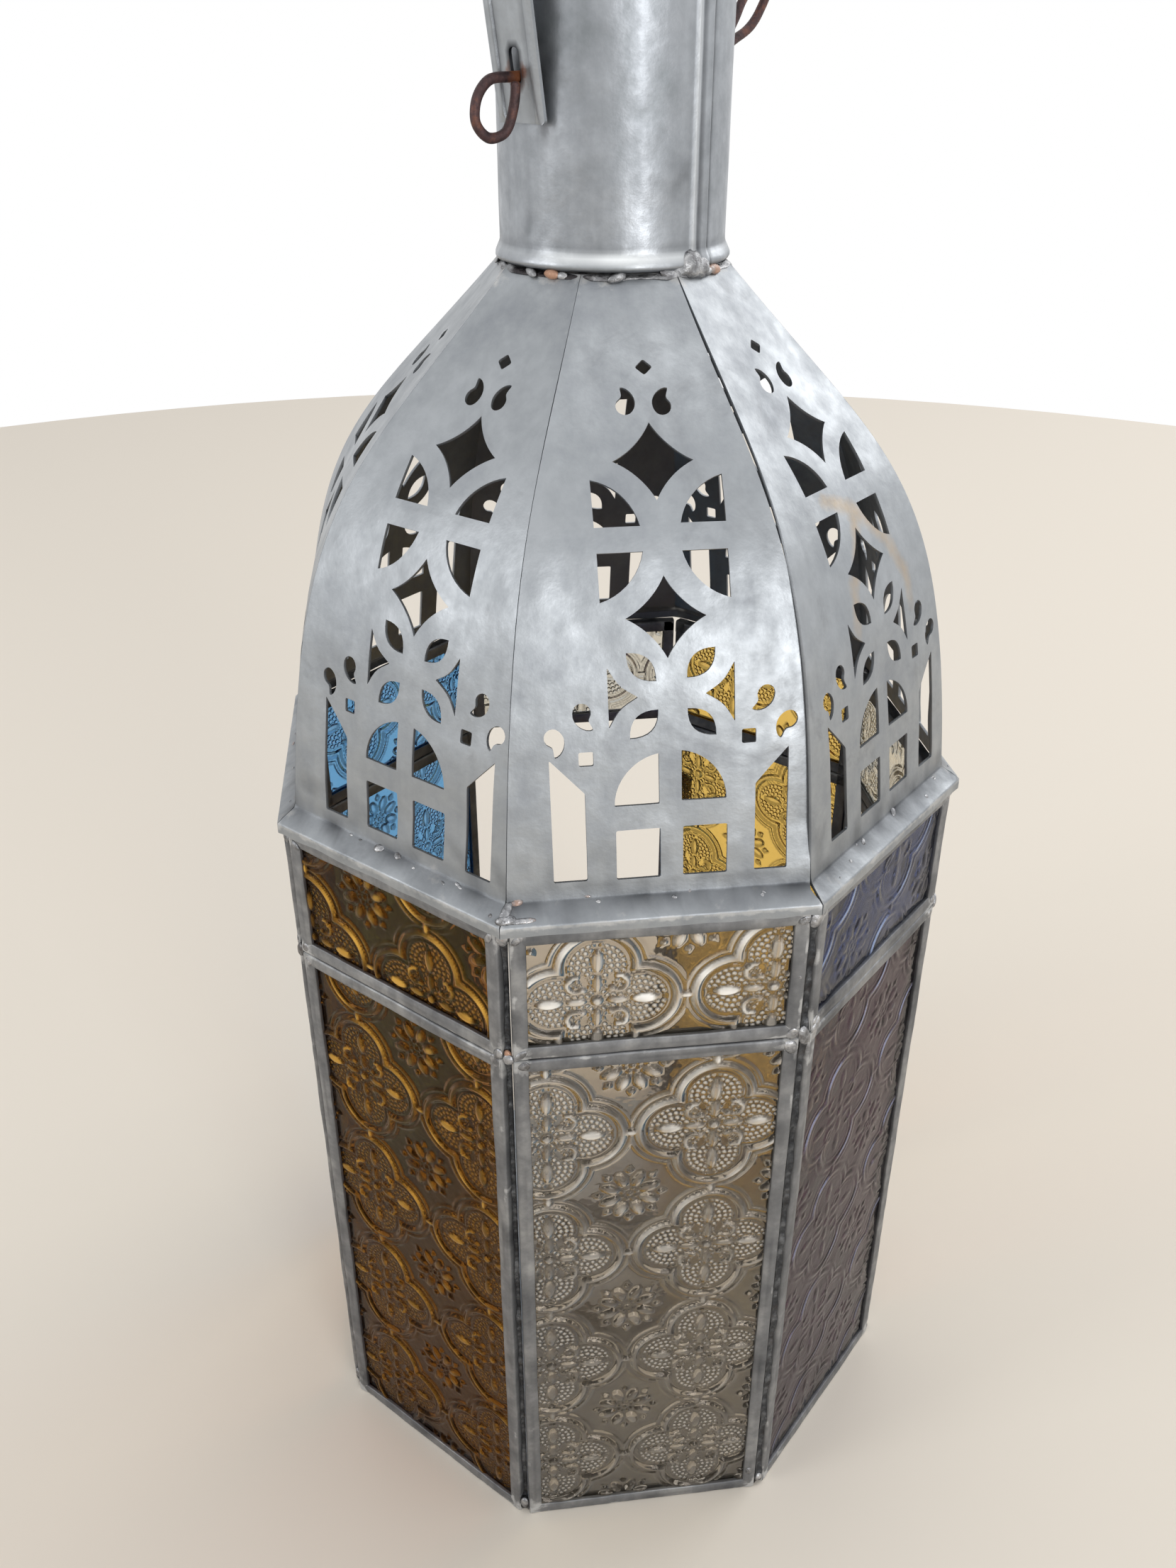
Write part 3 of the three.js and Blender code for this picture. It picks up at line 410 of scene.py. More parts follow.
def hex_colour(code, share=1):
    """sRGB hex, or a share of it, to the linear values that Blender's sockets take."""
    srgb = [int(code[i:i + 2], 16) / 255 for i in (1, 3, 5)]
    return tuple(share * (c / 12.92 if c <= 0.04045 else ((c + 0.055) / 1.055) ** 2.4) for c in srgb) + (1.0,)


def add_node(tree, kind, inputs=None, stops=None, **settings):
    """Adds a shader node; `inputs` gives a socket its value or the socket that feeds it, `stops` a ramp's colours."""
    made = tree.nodes.new("ShaderNode" + kind)
    for key, value in settings.items():
        setattr(made, key, value)
    for key, value in (inputs or {}).items():
        if isinstance(value, bpy.types.NodeSocket):
            tree.links.new(value, made.inputs[key])
        else:
            made.inputs[key].default_value = value
    if stops:
        ramp_stops = made.color_ramp.elements
        for position, _ in stops[1:-1]:
            ramp_stops.new(position)
        for element, (position, colour) in zip(ramp_stops, stops):
            element.position = position
            element.color = hex_colour(colour)
    return made


def noise(tree, where, scale, detail, roughness=0.5, distortion=0.0):
    """Cloudy noise with patches about 1/scale metres wide."""
    inputs = {"Vector": where, "Scale": scale, "Detail": detail, "Roughness": roughness, "Distortion": distortion}
    return add_node(tree, "TexNoise", inputs).outputs["Fac"]


def blend(tree, share, first, second, kind="RGBA"):
    """The first colour or value, turned to the second by a share."""
    first, second = (hex_colour(c) if isinstance(c, str) else c for c in (first, second))
    return add_node(tree, "Mix", {"Factor": share, "A": first, "B": second}, data_type=kind).outputs["Result"]


def span(tree, value, low, high, start=0.0, end=1.0):
    """A value between start and end turned to one between low and high, and held there beyond."""
    inputs = {"Value": value, "From Min": start, "From Max": end, "To Min": low, "To Max": high}
    return add_node(tree, "MapRange", inputs).outputs["Result"]


def sum_of(tree, operation, *takes, **settings):
    """A sum on values or sockets."""
    return add_node(tree, "Math", dict(enumerate(takes)), operation=operation, **settings).outputs[0]


def bump(tree, height, strength, distance, under=None):
    """Small relief from a height, on top of the relief under it."""
    inputs = {"Height": height, "Strength": strength, "Distance": distance}
    return add_node(tree, "Bump", {**inputs, "Normal": under} if under else inputs).outputs["Normal"]


def attribute(tree, name):
    """What is painted on the points under a name."""
    return add_node(tree, "Attribute", attribute_name=name).outputs["Fac"]


def painted_mark(tree, where, name, scale, start, full, most):
    """A mask from a mark painted on the points: broken up by noise about 1/scale m wide, so it ends raggedly."""
    edge = sum_of(tree, "ADD", attribute(tree, name), noise(tree, where, scale, 5.0, 0.65))
    return span(tree, edge, 0.0, most, start, full)


def new_material(name):
    """An empty node material; returns it with its tree, its output and the object coordinates."""
    material = bpy.data.materials.new(name)
    material.use_nodes = True
    tree = material.node_tree
    tree.nodes.clear()
    output = add_node(tree, "OutputMaterial")
    return material, tree, output, add_node(tree, "TexCoord").outputs["Object"]


def add_surface(tree, output, **sockets):
    """The shader of an opaque material, with each socket's value; Base_Color stands for Base Color."""
    shader = add_node(tree, "BsdfPrincipled", {key.replace("_", " "): value for key, value in sockets.items()})
    tree.links.new(shader.outputs[0], output.inputs["Surface"])


def tinned_sheet(name, dark, mid, light, roughness, dented):
    """Thin tinned sheet, cut, bent and soldered by hand. Frosty mottling 25 mm and 6 mm wide, faint upright rolling
    streaks, dull smudges and shallow dents that break its soft reflections. Painted marks add dirt with painted shade
    (the unlit dark of inner faces, folds and gaps), pale solder smears that also paint a highlight line on a bend,
    painted highlights on ridges and bends, rust, and a brown water stain."""
    material, tree, output, where = new_material(name)
    patches = noise(tree, where, 40.0, 5.0, 0.6)
    cloud = noise(tree, where, 165.0, 4.0, 0.65)
    rolled = add_node(tree, "Mapping", {"Vector": where, "Scale": (1.0, 1.0, 0.1)}).outputs["Vector"]
    streaks = noise(tree, rolled, 260.0, 3.0)
    mottle = blend(tree, 0.42, patches, cloud, "FLOAT")
    tone = blend(tree, 0.2, mottle, streaks, "FLOAT")
    base = add_node(tree, "ValToRGB", {"Fac": tone}, stops=[(0.36, dark), (0.5, mid), (0.64, light)])
    smudge = span(tree, noise(tree, where, 24.0, 6.0, 0.68, 1.1), 0.0, 0.5, 0.57, 0.72)
    colour = blend(tree, smudge, base.outputs["Color"], "#6d6f72")
    brown = painted_mark(tree, where, "stain", 170.0, 0.8, 1.6, 0.6)
    colour = blend(tree, brown, colour, "#b59a73")
    # pale solder smears, and on the dome panels a painted highlight line at the lip
    pale_smear_and_highlight = painted_mark(tree, where, "solder_smear_and_highlight", 300.0, 0.88, 1.1, 0.8)
    colour = blend(tree, pale_smear_and_highlight, colour, "#c4c4c3")
    # painted highlight: near-white where the mark is painted, on the neck's seam ridge and flare
    colour = blend(tree, attribute(tree, "painted_highlight"), colour, "#eef1f2")
    rust = painted_mark(tree, where, "rust", 420.0, 0.8, 1.25, 0.95)
    colour = blend(tree, rust, colour, "#7d4a2b")
    # dirt and painted shade: the dark of inner faces, folds, grooves and gaps, and real dirt
    colour = blend(tree, attribute(tree, "dirt_and_shade"), colour, "#303236")
    metal = span(tree, sum_of(tree, "MAXIMUM", rust, brown), 0.86, 0.25)
    rough = span(tree, tone, roughness + 0.12, roughness - 0.08, 0.36, 0.64)
    matt = sum_of(tree, "MULTIPLY_ADD", pale_smear_and_highlight, 0.2, rough)
    dents = bump(tree, noise(tree, where, 55.0, 2.0), dented, 0.0016)
    grain = bump(tree, cloud, 0.3, 0.0005, dents)
    add_surface(tree, output, Base_Color=colour, Metallic=metal, Roughness=matt, Normal=grain)
    return material


def soft_solder(name, low, mid, high, burnt, roughness):
    """Tin-lead solder run with a hot iron: lumps 3 mm wide with grey hollows between them, specks of burnt flux, and
    char or rust where a mark is painted."""
    material, tree, output, where = new_material(name)
    lumps = noise(tree, where, 340.0, 4.0, 0.6)
    base = add_node(tree, "ValToRGB", {"Fac": lumps}, stops=[(0.34, low), (0.5, mid), (0.68, high)])
    specks = span(tree, noise(tree, where, 130.0, 5.0, 0.72), 0.0, burnt, 0.53, 0.63)
    colour = blend(tree, specks, base.outputs["Color"], "#3b3430")
    colour = blend(tree, painted_mark(tree, where, "burnt", 260.0, 0.75, 1.15, 0.92), colour, "#2b2628")
    rust = painted_mark(tree, where, "rust", 420.0, 0.8, 1.2, 0.9)
    colour = blend(tree, rust, colour, "#b08468")
    metal = span(tree, rust, 0.85, 0.2)
    relief = bump(tree, lumps, 0.8, 0.0009)
    add_surface(tree, output, Base_Color=colour, Metallic=metal, Roughness=roughness, Normal=relief)
    return material


def rusted_wire():
    """Drawn iron wire left bare: dark maroon scale, pitted and nearly dry, with orange bloom where it is painted."""
    material, tree, output, where = new_material("rusted_iron_wire")
    scale = noise(tree, where, 300.0, 5.0, 0.68)
    base = add_node(tree, "ValToRGB", {"Fac": scale}, stops=[(0.36, "#332526"), (0.52, "#4a3434"), (0.66, "#6a4538")])
    bloom = painted_mark(tree, where, "rust", 420.0, 0.8, 1.3, 0.9)
    colour = blend(tree, bloom, base.outputs["Color"], "#8a5330")
    pits = bump(tree, noise(tree, where, 1300.0, 3.0), 0.6, 0.0003)
    add_surface(tree, output, Base_Color=colour, Metallic=0.35, Roughness=0.55, Normal=pits)
    return material


# How the glass sets its beads in rows about each lobe's middle: every line gives a value's name, the operation, and
# what it works on. Distances are in millimetres; "off" is how far a point is from its nearest bead, squared.
BEAD_ROWS = [
    ("turn", "ARCTAN2", "up", "across"), ("wide", "MULTIPLY", "across", "across"),
    ("far", "MULTIPLY_ADD", "up", "up", "wide"), ("far", "SQRT", "far"),
    ("row", "SUBTRACT", FIRST_BEADS, "far"), ("row", "DIVIDE", "row", BEAD_PITCH), ("row", "ROUND", "row"),
    ("radius", "MULTIPLY_ADD", "row", -BEAD_PITCH, FIRST_BEADS), ("radius", "MAXIMUM", "radius", 0.35),
    ("count", "MULTIPLY", "radius", 2 * math.pi / BEAD_PITCH), ("count", "ROUND", "count"),
    ("count", "MAXIMUM", "count", 1.0), ("turn", "MULTIPLY", "turn", 0.5 / math.pi),
    ("turn", "MULTIPLY", "turn", "count"), ("whole", "ROUND", "turn"), ("beside", "SUBTRACT", "turn", "whole"),
    ("beside", "DIVIDE", "beside", "count"), ("beside", "MULTIPLY", "beside", 2 * math.pi),
    ("beside", "MULTIPLY", "beside", "radius"), ("beside", "MULTIPLY", "beside", "beside"),
    ("rise", "SUBTRACT", "far", "radius"), ("off", "MULTIPLY_ADD", "rise", "rise", "beside"),
    ("off", "DIVIDE", "off", BEAD_RADIUS ** 2), ("off", "SUBTRACT", 1.0, "off"), ("off", "MAXIMUM", "off", 0.0),
    ("bead", "SQRT", "off"), ("bead", "MULTIPLY", "bead", "beaded"),
    # valley and hollow: painted shade, with dirt, round the beads and down steep sides; top: painted highlight
    ("valley", "SUBTRACT", "beaded", "bead"), ("hollow", "MULTIPLY_ADD", "valley", 0.55, "steep"),
    ("top", "POWER", "bead", 1.6), ("top", "MULTIPLY", "top", 0.6), ("top", "MAXIMUM", "top", "crest"),
]
GLASS_MARKS = {"beaded": "beaded", "across": "bead_across", "up": "bead_up", "steep": "steep", "crest": "crest"}


def rolled_glass(name, tint, lamp_tint, painted_glints, sheen_tint, sheen, soil_and_shade, film=0.03, gleam=0.3, roughness=0.05, ior=1.5):
    """Cathedral glass rolled on a patterned drum: tinted through, faintly wavy between the raised figures, with rows
    of small round beads inside them. Painted shade, with some dirt, darkens the steep sides of the relief and the
    hollows between beads; painted highlights make the crests and the beads' tops light and a little dull. A dusty
    skin mirrors less: its ior is lower. Lamps pass the glass as tinted light."""
    material, tree, output, where = new_material(f"rolled_glass_{name}")
    value = {key: attribute(tree, mark) for key, mark in GLASS_MARKS.items()}
    for made, operation, *takes in BEAD_ROWS:
        value[made] = sum_of(tree, operation, *(value.get(v, v) for v in takes))
    wavy = bump(tree, noise(tree, where, 150.0, 2.0), 0.2, 0.0012)
    beads = bump(tree, value["bead"], 1.0, 0.0007, wavy)
    streaks = noise(tree, where, 30.0, 3.0)
    colour = blend(tree, streaks, hex_colour(tint, 0.84), tint)
    # painted shade and dirt darken hollows and steep sides; painted highlights light the tops and crests
    dark = sum_of(tree, "MULTIPLY", value["hollow"], soil_and_shade, use_clamp=True)
    colour = blend(tree, dark, colour, hex_colour(tint, 0.02))
    colour = blend(tree, value["top"], colour, painted_glints)
    clear = span(tree, value["top"], 1.0 - film, 1.0 - film - gleam)
    shader = add_node(tree, "BsdfPrincipled", {
        "Base Color": colour, "Metallic": 0.0, "Roughness": roughness, "IOR": ior, "Specular IOR Level": sheen,
        "Specular Tint": hex_colour(sheen_tint), "Transmission Weight": clear, "Normal": beads,
    })
    lamp = add_node(tree, "BsdfTransparent", {"Color": hex_colour(lamp_tint)})
    rays = add_node(tree, "LightPath").outputs["Is Shadow Ray"]
    mix = add_node(tree, "MixShader", {0: rays, 1: shader.outputs[0], 2: lamp.outputs[0]})
    tree.links.new(mix.outputs[0], output.inputs["Surface"])
    return material


SHEET_METAL = tinned_sheet("tinned_sheet_dull", "#91959a", "#9ca0a4", "#a8acb0", 0.43, 0.34)
CAME_METAL = tinned_sheet("tinned_sheet_folded_came", "#696a6c", "#828385", "#a2a3a4", 0.52, 0.5)
NECK_METAL = tinned_sheet("galvanised_sheet_rolled_neck", "#83888c", "#95999e", "#a9adb2", 0.41, 0.45)
SOLDER = soft_solder("soft_solder_run_by_hand", "#6d6e70", "#96979a", "#c4c4c5", 0.7, 0.36)
BURNT_SOLDER = soft_solder("solder_with_burnt_flux", "#6a696b", "#8f9092", "#bcbcbd", 0.25, 0.42)
# very dark: grey solder painted darker as the shade of the deep corner grooves
GROOVE_SOLDER_AND_SHADE = soft_solder("groove_solder_darkened_as_shade", "#303134", "#47494c", "#707275", 0.55, 0.5)
WIRE = rusted_wire()
# Each row: key, name, tint, lamp tint, painted highlight colour, mirror tint, mirror level, shade and dirt share, then
# film, gleam, roughness, ior
GLASS = {glass: rolled_glass(*told) for glass, *told in (
    ("clear", "clear", "#f0eee4", "#f4f2ea", "#f6f4ec", "#ffffff", 0.5, 0.6),
    ("amber", "amber", "#ffd876", "#dc9a3a", "#ffe2a0", "#e3b468", 0.4, 0.8),
    ("blue", "blue", "#7ac0ff", "#6ba6e2", "#b4d4f4", "#9fb4e0", 0.5, 0.8),
    ("clear_warm", "clear_warm", "#cdc3b4", "#f2eddc", "#fffdf8", "#cfc4b8", 0.4, 0.55, 0.02, 0.9),
    ("amber_deep", "amber_deep", "#84551c", "#cf8a2c", "#f0ba56", "#c08a40", 0.3, 0.4, 0.02, 0.75, 0.06, 1.28),
    ("blue_violet", "blue_deep", "#485688", "#6f7fc4", "#b0c6ee", "#7d88c4", 0.3, 0.5, 0.02, 0.75, 0.06, 1.3),
    ("violet", "violet_deep", "#583f50", "#7a70b4", "#b0bce2", "#8d7078", 0.3, 0.5, 0.02, 0.75, 0.06, 1.24),
)}
# The panes in front take deeper and dustier copies of the glasses, with stronger painted highlights: their
# deeper tint is painted shade for the dark inside seen through them
PANE_GLASS = {
    ("band", "front"): "clear_warm", ("lower", "front"): "clear_warm", ("band", "front_left"): "amber_deep",
    ("lower", "front_left"): "amber_deep", ("band", "front_right"): "blue_violet", ("lower", "front_right"): "violet",
}


# ---------------------------------------------------------------- panes of rolled pattern glass

def lens(along, across, figure, power=1):
    """1 at the middle of a lens and 0 on its edge; the larger the power the more pointed its ends."""
    middle, half_long, half_wide = figure
    return positive(1 - ((along - middle) / half_long) ** 2) ** power - (across / half_wide) ** 2


def medallion(u, w, light):
    """Height of one quatrefoil medallion about its middle: a double raised line on the outline of four round
    lobes, a drop and a petal on each axis, a curl with its tail on each diagonal, a boss. Also where beads stand,
    each point's place from the middle of its lobe, about which the glass's own material sets the beads in rows, how
    far the ornaments take painted highlight, and how far the raised line does: most where it runs across the `light`."""
    r = np.hypot(u, w)
    from_lobe = np.stack([np.hypot(u - a, w - b) for a, b in LOBES])
    nearest = from_lobe.argmin(0)
    edge = np.minimum(from_lobe.min(0) - LOBE_RADIUS, r - 9)
    height = 1.15 * ridge(edge, 0, 1.75) + 0.5 * ridge(edge, 2.6, 0.9) + 0.4 * ridge(edge, -2.3, 0.7)
    a, b = np.maximum(np.abs(u), np.abs(w)), np.minimum(np.abs(u), np.abs(w))
    drop, petal = lens(a, b, DROP, 1.4), lens(a, b, PETAL)
    cu, cw = np.abs(u) - CURL_CENTRE, np.abs(w) - CURL_CENTRE
    curl_r, curl_at = np.hypot(cu, cw), np.arctan2(cw, cu)
    curl = ridge(curl_r, CURL_RADIUS, 1.25) * (curl_at > -2.5) * (curl_at < 1.9)
    tail = 1 - ((cu + cw + 3.6) / 1.7) ** 2 - ((cu - cw) / 1.2) ** 2
    boss = 1 - (r / 1.5) ** 2
    ornament = highest(
        1.2 * positive(drop) ** 0.6, 0.9 * positive(petal) ** 0.6, 0.95 * curl,
        0.8 * np.sqrt(positive(tail)), 1.2 * np.sqrt(positive(boss)),
    )
    bare = highest(1 + 1.6 * drop, 1 + 1.6 * petal, 1.5 * ridge(curl_r, CURL_RADIUS, 1.9), 1 + 1.2 * tail, 1.2 + boss)
    beaded = (1 - np.clip(bare, 0, 1)) * ramp(-edge, 2.6, 0.4) * ramp(a - b, 0.3, 0.4)
    across, up = u - LOBES[nearest, 0], w - LOBES[nearest, 1]
    level = np.where(np.abs(u) > np.abs(w), 1, 0.5)
    # painted highlight on the ornaments, stronger on the horizontal ones
    ornament_glints = highest(
        level * ramp(drop, 0.18, 0.3) * np.clip((15.6 - a) / 1.5, 0.3, 1), 0.6 * level * ramp(petal, 0.25, 0.4),
        0.9 * ramp(curl, 0.5, 0.35) * (0.6 + 0.4 * np.sin(curl_at + 0.6)), 0.5 * ramp(tail, 0.3, 0.5),
        0.7 * ramp(boss, 0.3, 0.4),
    )
    to_light = 0.12 + 0.88 * np.abs(np.cos(np.arctan2(up, across) - light)) ** 3
    # painted highlight on the raised line, strongest where it runs across the light
    inner_line, outer_line = ramp(ridge(edge, 0.2, 1.75), 0.45, 0.3), ramp(ridge(edge, 2.6, 0.9), 0.4, 0.3)
    line = to_light * np.maximum(inner_line, 0.5 * outer_line)
    return height + ornament - 0.15 * ramp(-edge, 2.4, 0.8), beaded, across, up, ornament_glints, line


def rosette(u, w):
    """Height of one rosette about its middle: eight round petals, a ring of seed beads about a middle one, and a
    pointed pyramid beyond each gap."""
    r, angle = np.hypot(u, w), np.arctan2(w, u)
    step = math.pi / 4
    off = (angle + step / 2) % step - step / 2
    petal_off = (angle - step / 2) % step
    beside = r * np.sin(np.minimum(petal_off, step - petal_off))
    petal = lens(r, beside, ROSETTE_PETAL)
    spike = 1 - np.abs(r * np.sin(off)) / 1.5 - np.where(r > 8.6, (r - 8.6) / 2.3, (8.6 - r) / 1.3)
    seed = np.maximum(1 - ((r - 2.1) ** 2 + beside ** 2) / 0.36, 1 - (r / 0.8) ** 2)
    return highest(1.1 * np.sqrt(positive(petal)), 1.2 * positive(spike), 0.6 * np.sqrt(positive(seed)))


def rolled_relief(x, z, phase, light, seed):
    """Height of the rolled pattern at a point of the pane: medallions on a square pitch, joined by short links,
    rosettes between them, and the slow wave that rolling leaves. Then what `medallion` returns beside it."""
    start_x, start_z, pitch_z = phase
    u = (x - start_x + PATTERN_PITCH / 2) % PATTERN_PITCH - PATTERN_PITCH / 2
    w = ((z - start_z + pitch_z / 2) % pitch_z - pitch_z / 2) * PATTERN_PITCH / pitch_z
    far_u, far_w = PATTERN_PITCH / 2 - np.abs(u), PATTERN_PITCH / 2 - np.abs(w)
    link = np.sqrt(np.maximum(ridge(far_u, 0, 3.0) * ridge(w, 0, 1.4), ridge(far_w, 0, 3.0) * ridge(u, 0, 1.4)))
    corner_u, corner_w = far_u * np.sign(u), far_w * np.sign(w)
    figure, beaded, across, up, ornament_glints, line = medallion(u, w, light)
    flower = rosette(corner_u, corner_w)
    # painted highlight on the rosette, brighter on the side towards the light
    flower_glint = 0.75 * (flower - 0.65) / 0.4 * (0.6 + 0.4 * np.sin(np.arctan2(corner_w, corner_u) - 2.4 + light))
    uneven = np.clip(0.85 + 0.25 * waves(seed + 5, 9, x, z), 0.4, 1)
    ornament_glints = uneven * np.clip(highest(ornament_glints, flower_glint, (link - 0.6) / 0.3), 0, 1)
    height = highest(figure, flower, link) + 0.07 * waves(seed, 24, x, z)
    return height, beaded, across, up, ornament_glints, uneven * line


def glass_pane(name, height, foot, phase, colour, glass, place, body, stands_for, seed, kind):
    """A pane in its came: the patterned outer skin on a fine grid, a flat inner skin, and walls between them. By its
    kind a pane is lit from behind, with broad dark lines of painted shade down its steep sides and faint painted
    highlights; or dusky, with painted highlights on its crests, the brighter the higher they are; or of painted
    glints: the pattern low, with thin painted highlight lines across the light."""
    wide, tall = FRAME_WIDTH + 2 * (GLASS_BITE - CAME_BAR), height + 2 * (GLASS_BITE - CAME_BAR)
    middle = foot + height / 2
    x = np.linspace(-wide / 2, wide / 2, round(wide / RELIEF_STEP) + 1)
    z = middle + np.linspace(-tall / 2, tall / 2, round(tall / RELIEF_STEP) + 1)
    gx, gz = np.meshgrid(x, z)
    rim = ramp(np.minimum(wide / 2 - np.abs(gx), tall / 2 - np.abs(gz - foot - height / 2)), 1.7, 0.6)
    # the direction from which the painted highlights are lit
    light = 0.8 if colour == "amber" else 2.4
    relief, beaded, across, up, ornament_glints, line = rolled_relief(gx, gz, phase, light, seed)
    slope = np.hypot(*np.gradient(relief * rim, z, x))
    high = ramp(gz, 30, 180)
    # steep: painted shade down the steep sides; crest: painted highlight on crests and ornaments
    if kind == "lit":
        steep = ramp(slope, 0.16, 0.26)
        crest = 0.5 * np.maximum(ornament_glints, line) * (1 - steep)
    elif kind == "dusky":
        steep = 0.75 * ramp(slope, 0.5, 0.6)
        crest = np.maximum(ornament_glints, line) * (0.24 + 0.76 * high ** 2 if colour == "clear" else 0.45 + 0.5 * high)
        beaded = beaded * (0.8 + 0.2 * high)
        # darker towards the bottom
        if colour == "clear":
            steep = steep + 0.3 * (1 - high)
        else:
            steep, beaded, relief = 0.5 * steep, 0.75 * beaded, 0.8 * relief
    else:
        relief = 0.2 * relief + 0.12 * waves(seed + 8, 13, gx, gz) + 0.25
        beaded, steep = 0 * beaded, 0.1 * ramp(slope, 0.5, 0.6)
        # sparse painted glints on the ornaments
        sparse = np.clip(waves(seed + 9, 8, gx, gz) - 0.5, 0, 1)
        crest = np.maximum(ramp(line, 0.16, 0.6) ** 1.5, ornament_glints * sparse) * (0.4 + 0.4 * high)
    outer_y = -(BODY_APOTHEM - CAME_DEPTH / 2 + GLASS_THICKNESS / 2) + PANE_RECESS
    outer = np.stack([gx, outer_y - relief * rim, gz], -1).reshape(-1, 3)
    rows, columns = gx.shape
    border = np.concatenate([
        np.arange(columns), np.arange(1, rows) * columns + columns - 1,
        (rows - 1) * columns + np.arange(columns - 2, -1, -1), np.arange(rows - 2, 0, -1) * columns,
    ])
    back = outer[border].copy()
    back[:, 1] = outer_y - PANE_RECESS + GLASS_THICKNESS
    n, m = rows * columns, len(border)
    i = np.arange(m)
    walls = np.stack([border[i], n + i, n + (i + 1) % m, border[(i + 1) % m]], 1)
    marks = {"beaded": beaded * rim, "bead_across": across, "bead_up": up, "steep": steep, "crest": crest * rim}
    marks = {key: np.concatenate([value.ravel(), np.zeros(m)]) for key, value in marks.items()}
    faces = [grid_faces(rows, columns), walls, (n + i)[::-1][None, :]]
    add_piece(name, place(np.concatenate([outer, back])), faces, glass, body, stands_for, marks, 60)


# ---------------------------------------------------------------- folded came frames

def came_profile():
    """Section of the folded strip: distance in from the frame's edge against depth behind its front. Its front lip
    is pressed down to the glass."""
    bar, deep, flange = CAME_BAR, CAME_DEPTH, CAME_FLANGE
    web, lip = bar - GLASS_BITE - 0.2, 0.75 + PANE_RECESS
    corners = [
        (bar, 0.25), (bar * 0.55, -0.06), (0, 0), (0, deep), (bar, deep), (bar, deep - flange), (web, deep - flange),
        (web, flange), (bar - 0.5, lip), (bar, lip),
    ]
    return rounded(corners, [0.3, 1.4, 0.75, 0.95, 0.22, 0.22, 0.3, 0.3, 0.1, 0.14], 4)


def came_frame(name, height, foot, place, body, stands_for, seed):
    """The came profile carried round a mitred rectangle, with the slight waviness of a strip folded by hand."""
    profile = came_profile()
    half_w, half_h = FRAME_WIDTH / 2, height / 2
    corner = np.array(rectangle(-half_w, half_w, -half_h, half_h))
    stations, inward = [], []
    for a, b in zip(corner, np.roll(corner, -1, 0)):
        length = np.linalg.norm(b - a)
        between = np.linspace(7, length - 7, max(5, round(length / 3.5)))
        t = np.unique(np.concatenate([[0, 0.25, 4.2, length - 4.2, length - 0.25], between]))
        stations.append(a + (b - a) * (t / length)[:, None])
        turn_in = np.tile(np.array([-(b - a)[1], (b - a)[0]]) / length, (len(t), 1))
        turn_in[0] = -np.sign(a)
        inward.append(turn_in)
    edge, turn_in = np.concatenate(stations), np.concatenate(inward)
    run = run_along(edge)[:, None]
    across, depth = profile[:, 0][None], profile[:, 1][None]
    flat = across * 0
    sway = 0.16 * waves(seed, 55, run, flat) + 0.07 * waves(seed + 3, 14, run, flat)
    lift = 0.15 * waves(seed + 1, 26, run, across * 3) + 0.05 * waves(seed + 2, 8, run, across * 2)
    lift = lift * (1 - depth / CAME_DEPTH)
    reach = across + sway * (across > 1)
    x = edge[:, :1] + turn_in[:, :1] * reach
    z = edge[:, 1:] + turn_in[:, 1:] * reach + foot + half_h
    points = np.stack([x, -BODY_APOTHEM + depth + lift + 0 * x, z], -1)
    near_corner = np.exp(-np.min([np.linalg.norm(edge - c, axis=1) for c in corner], axis=0) / 5)[:, None] + flat
    # painted shade deep in the channel, and shade with dirt along the inner edge by the glass
    hidden = 0.5 * ramp(depth, 0.9, 0.9) + np.exp(-(CAME_BAR - across) / 0.35) * 0.22 + 0 * near_corner
    patch = np.clip(waves(seed + 5, 16, run, across * 1.5) - 0.25, 0, 1) * 0.5
    scratched = bell(across - 2.0 - 0.3 * sway, 0, 0.45) * np.clip(0.2 + waves(seed + 9, 22, run, flat), 0, 1)
    smeared = 0.75 * near_corner + 0.18 * (across < 0.9)
    smeared = smeared + 0.5 * np.clip(waves(seed + 7, 11, run, across * 2) - 0.4, 0, 1)
    marks = {"dirt_and_shade": np.clip(hidden + patch + 0.32 * scratched, 0, 0.85).ravel(), "solder_smear_and_highlight": smeared.ravel()}
    faces = grid_faces(len(edge), len(profile), True, True)[:, ::-1]
    add_piece(name, place(points), faces, CAME_METAL, body, stands_for, marks, 50)


def framed_pane(row, face, nodes, height, foot, phase, colour, place, body, seed):
    """A pane and the came round it, which stand for the CAD's frame and pane."""
    name = f"{row}_{face}" if face else row
    kind = "painted_glints" if face == "front_right" else "dusky" if (row, face) in PANE_GLASS else "lit"
    glass = GLASS[PANE_GLASS.get((row, face), colour)]
    came_frame(f"{name}_came", height, foot, place, body, nodes.format("frame"), seed)
    glass_pane(
        f"{name}_glass", height, foot, phase, colour, glass, place, body, nodes.format("pane"), seed + 500, kind,
    )


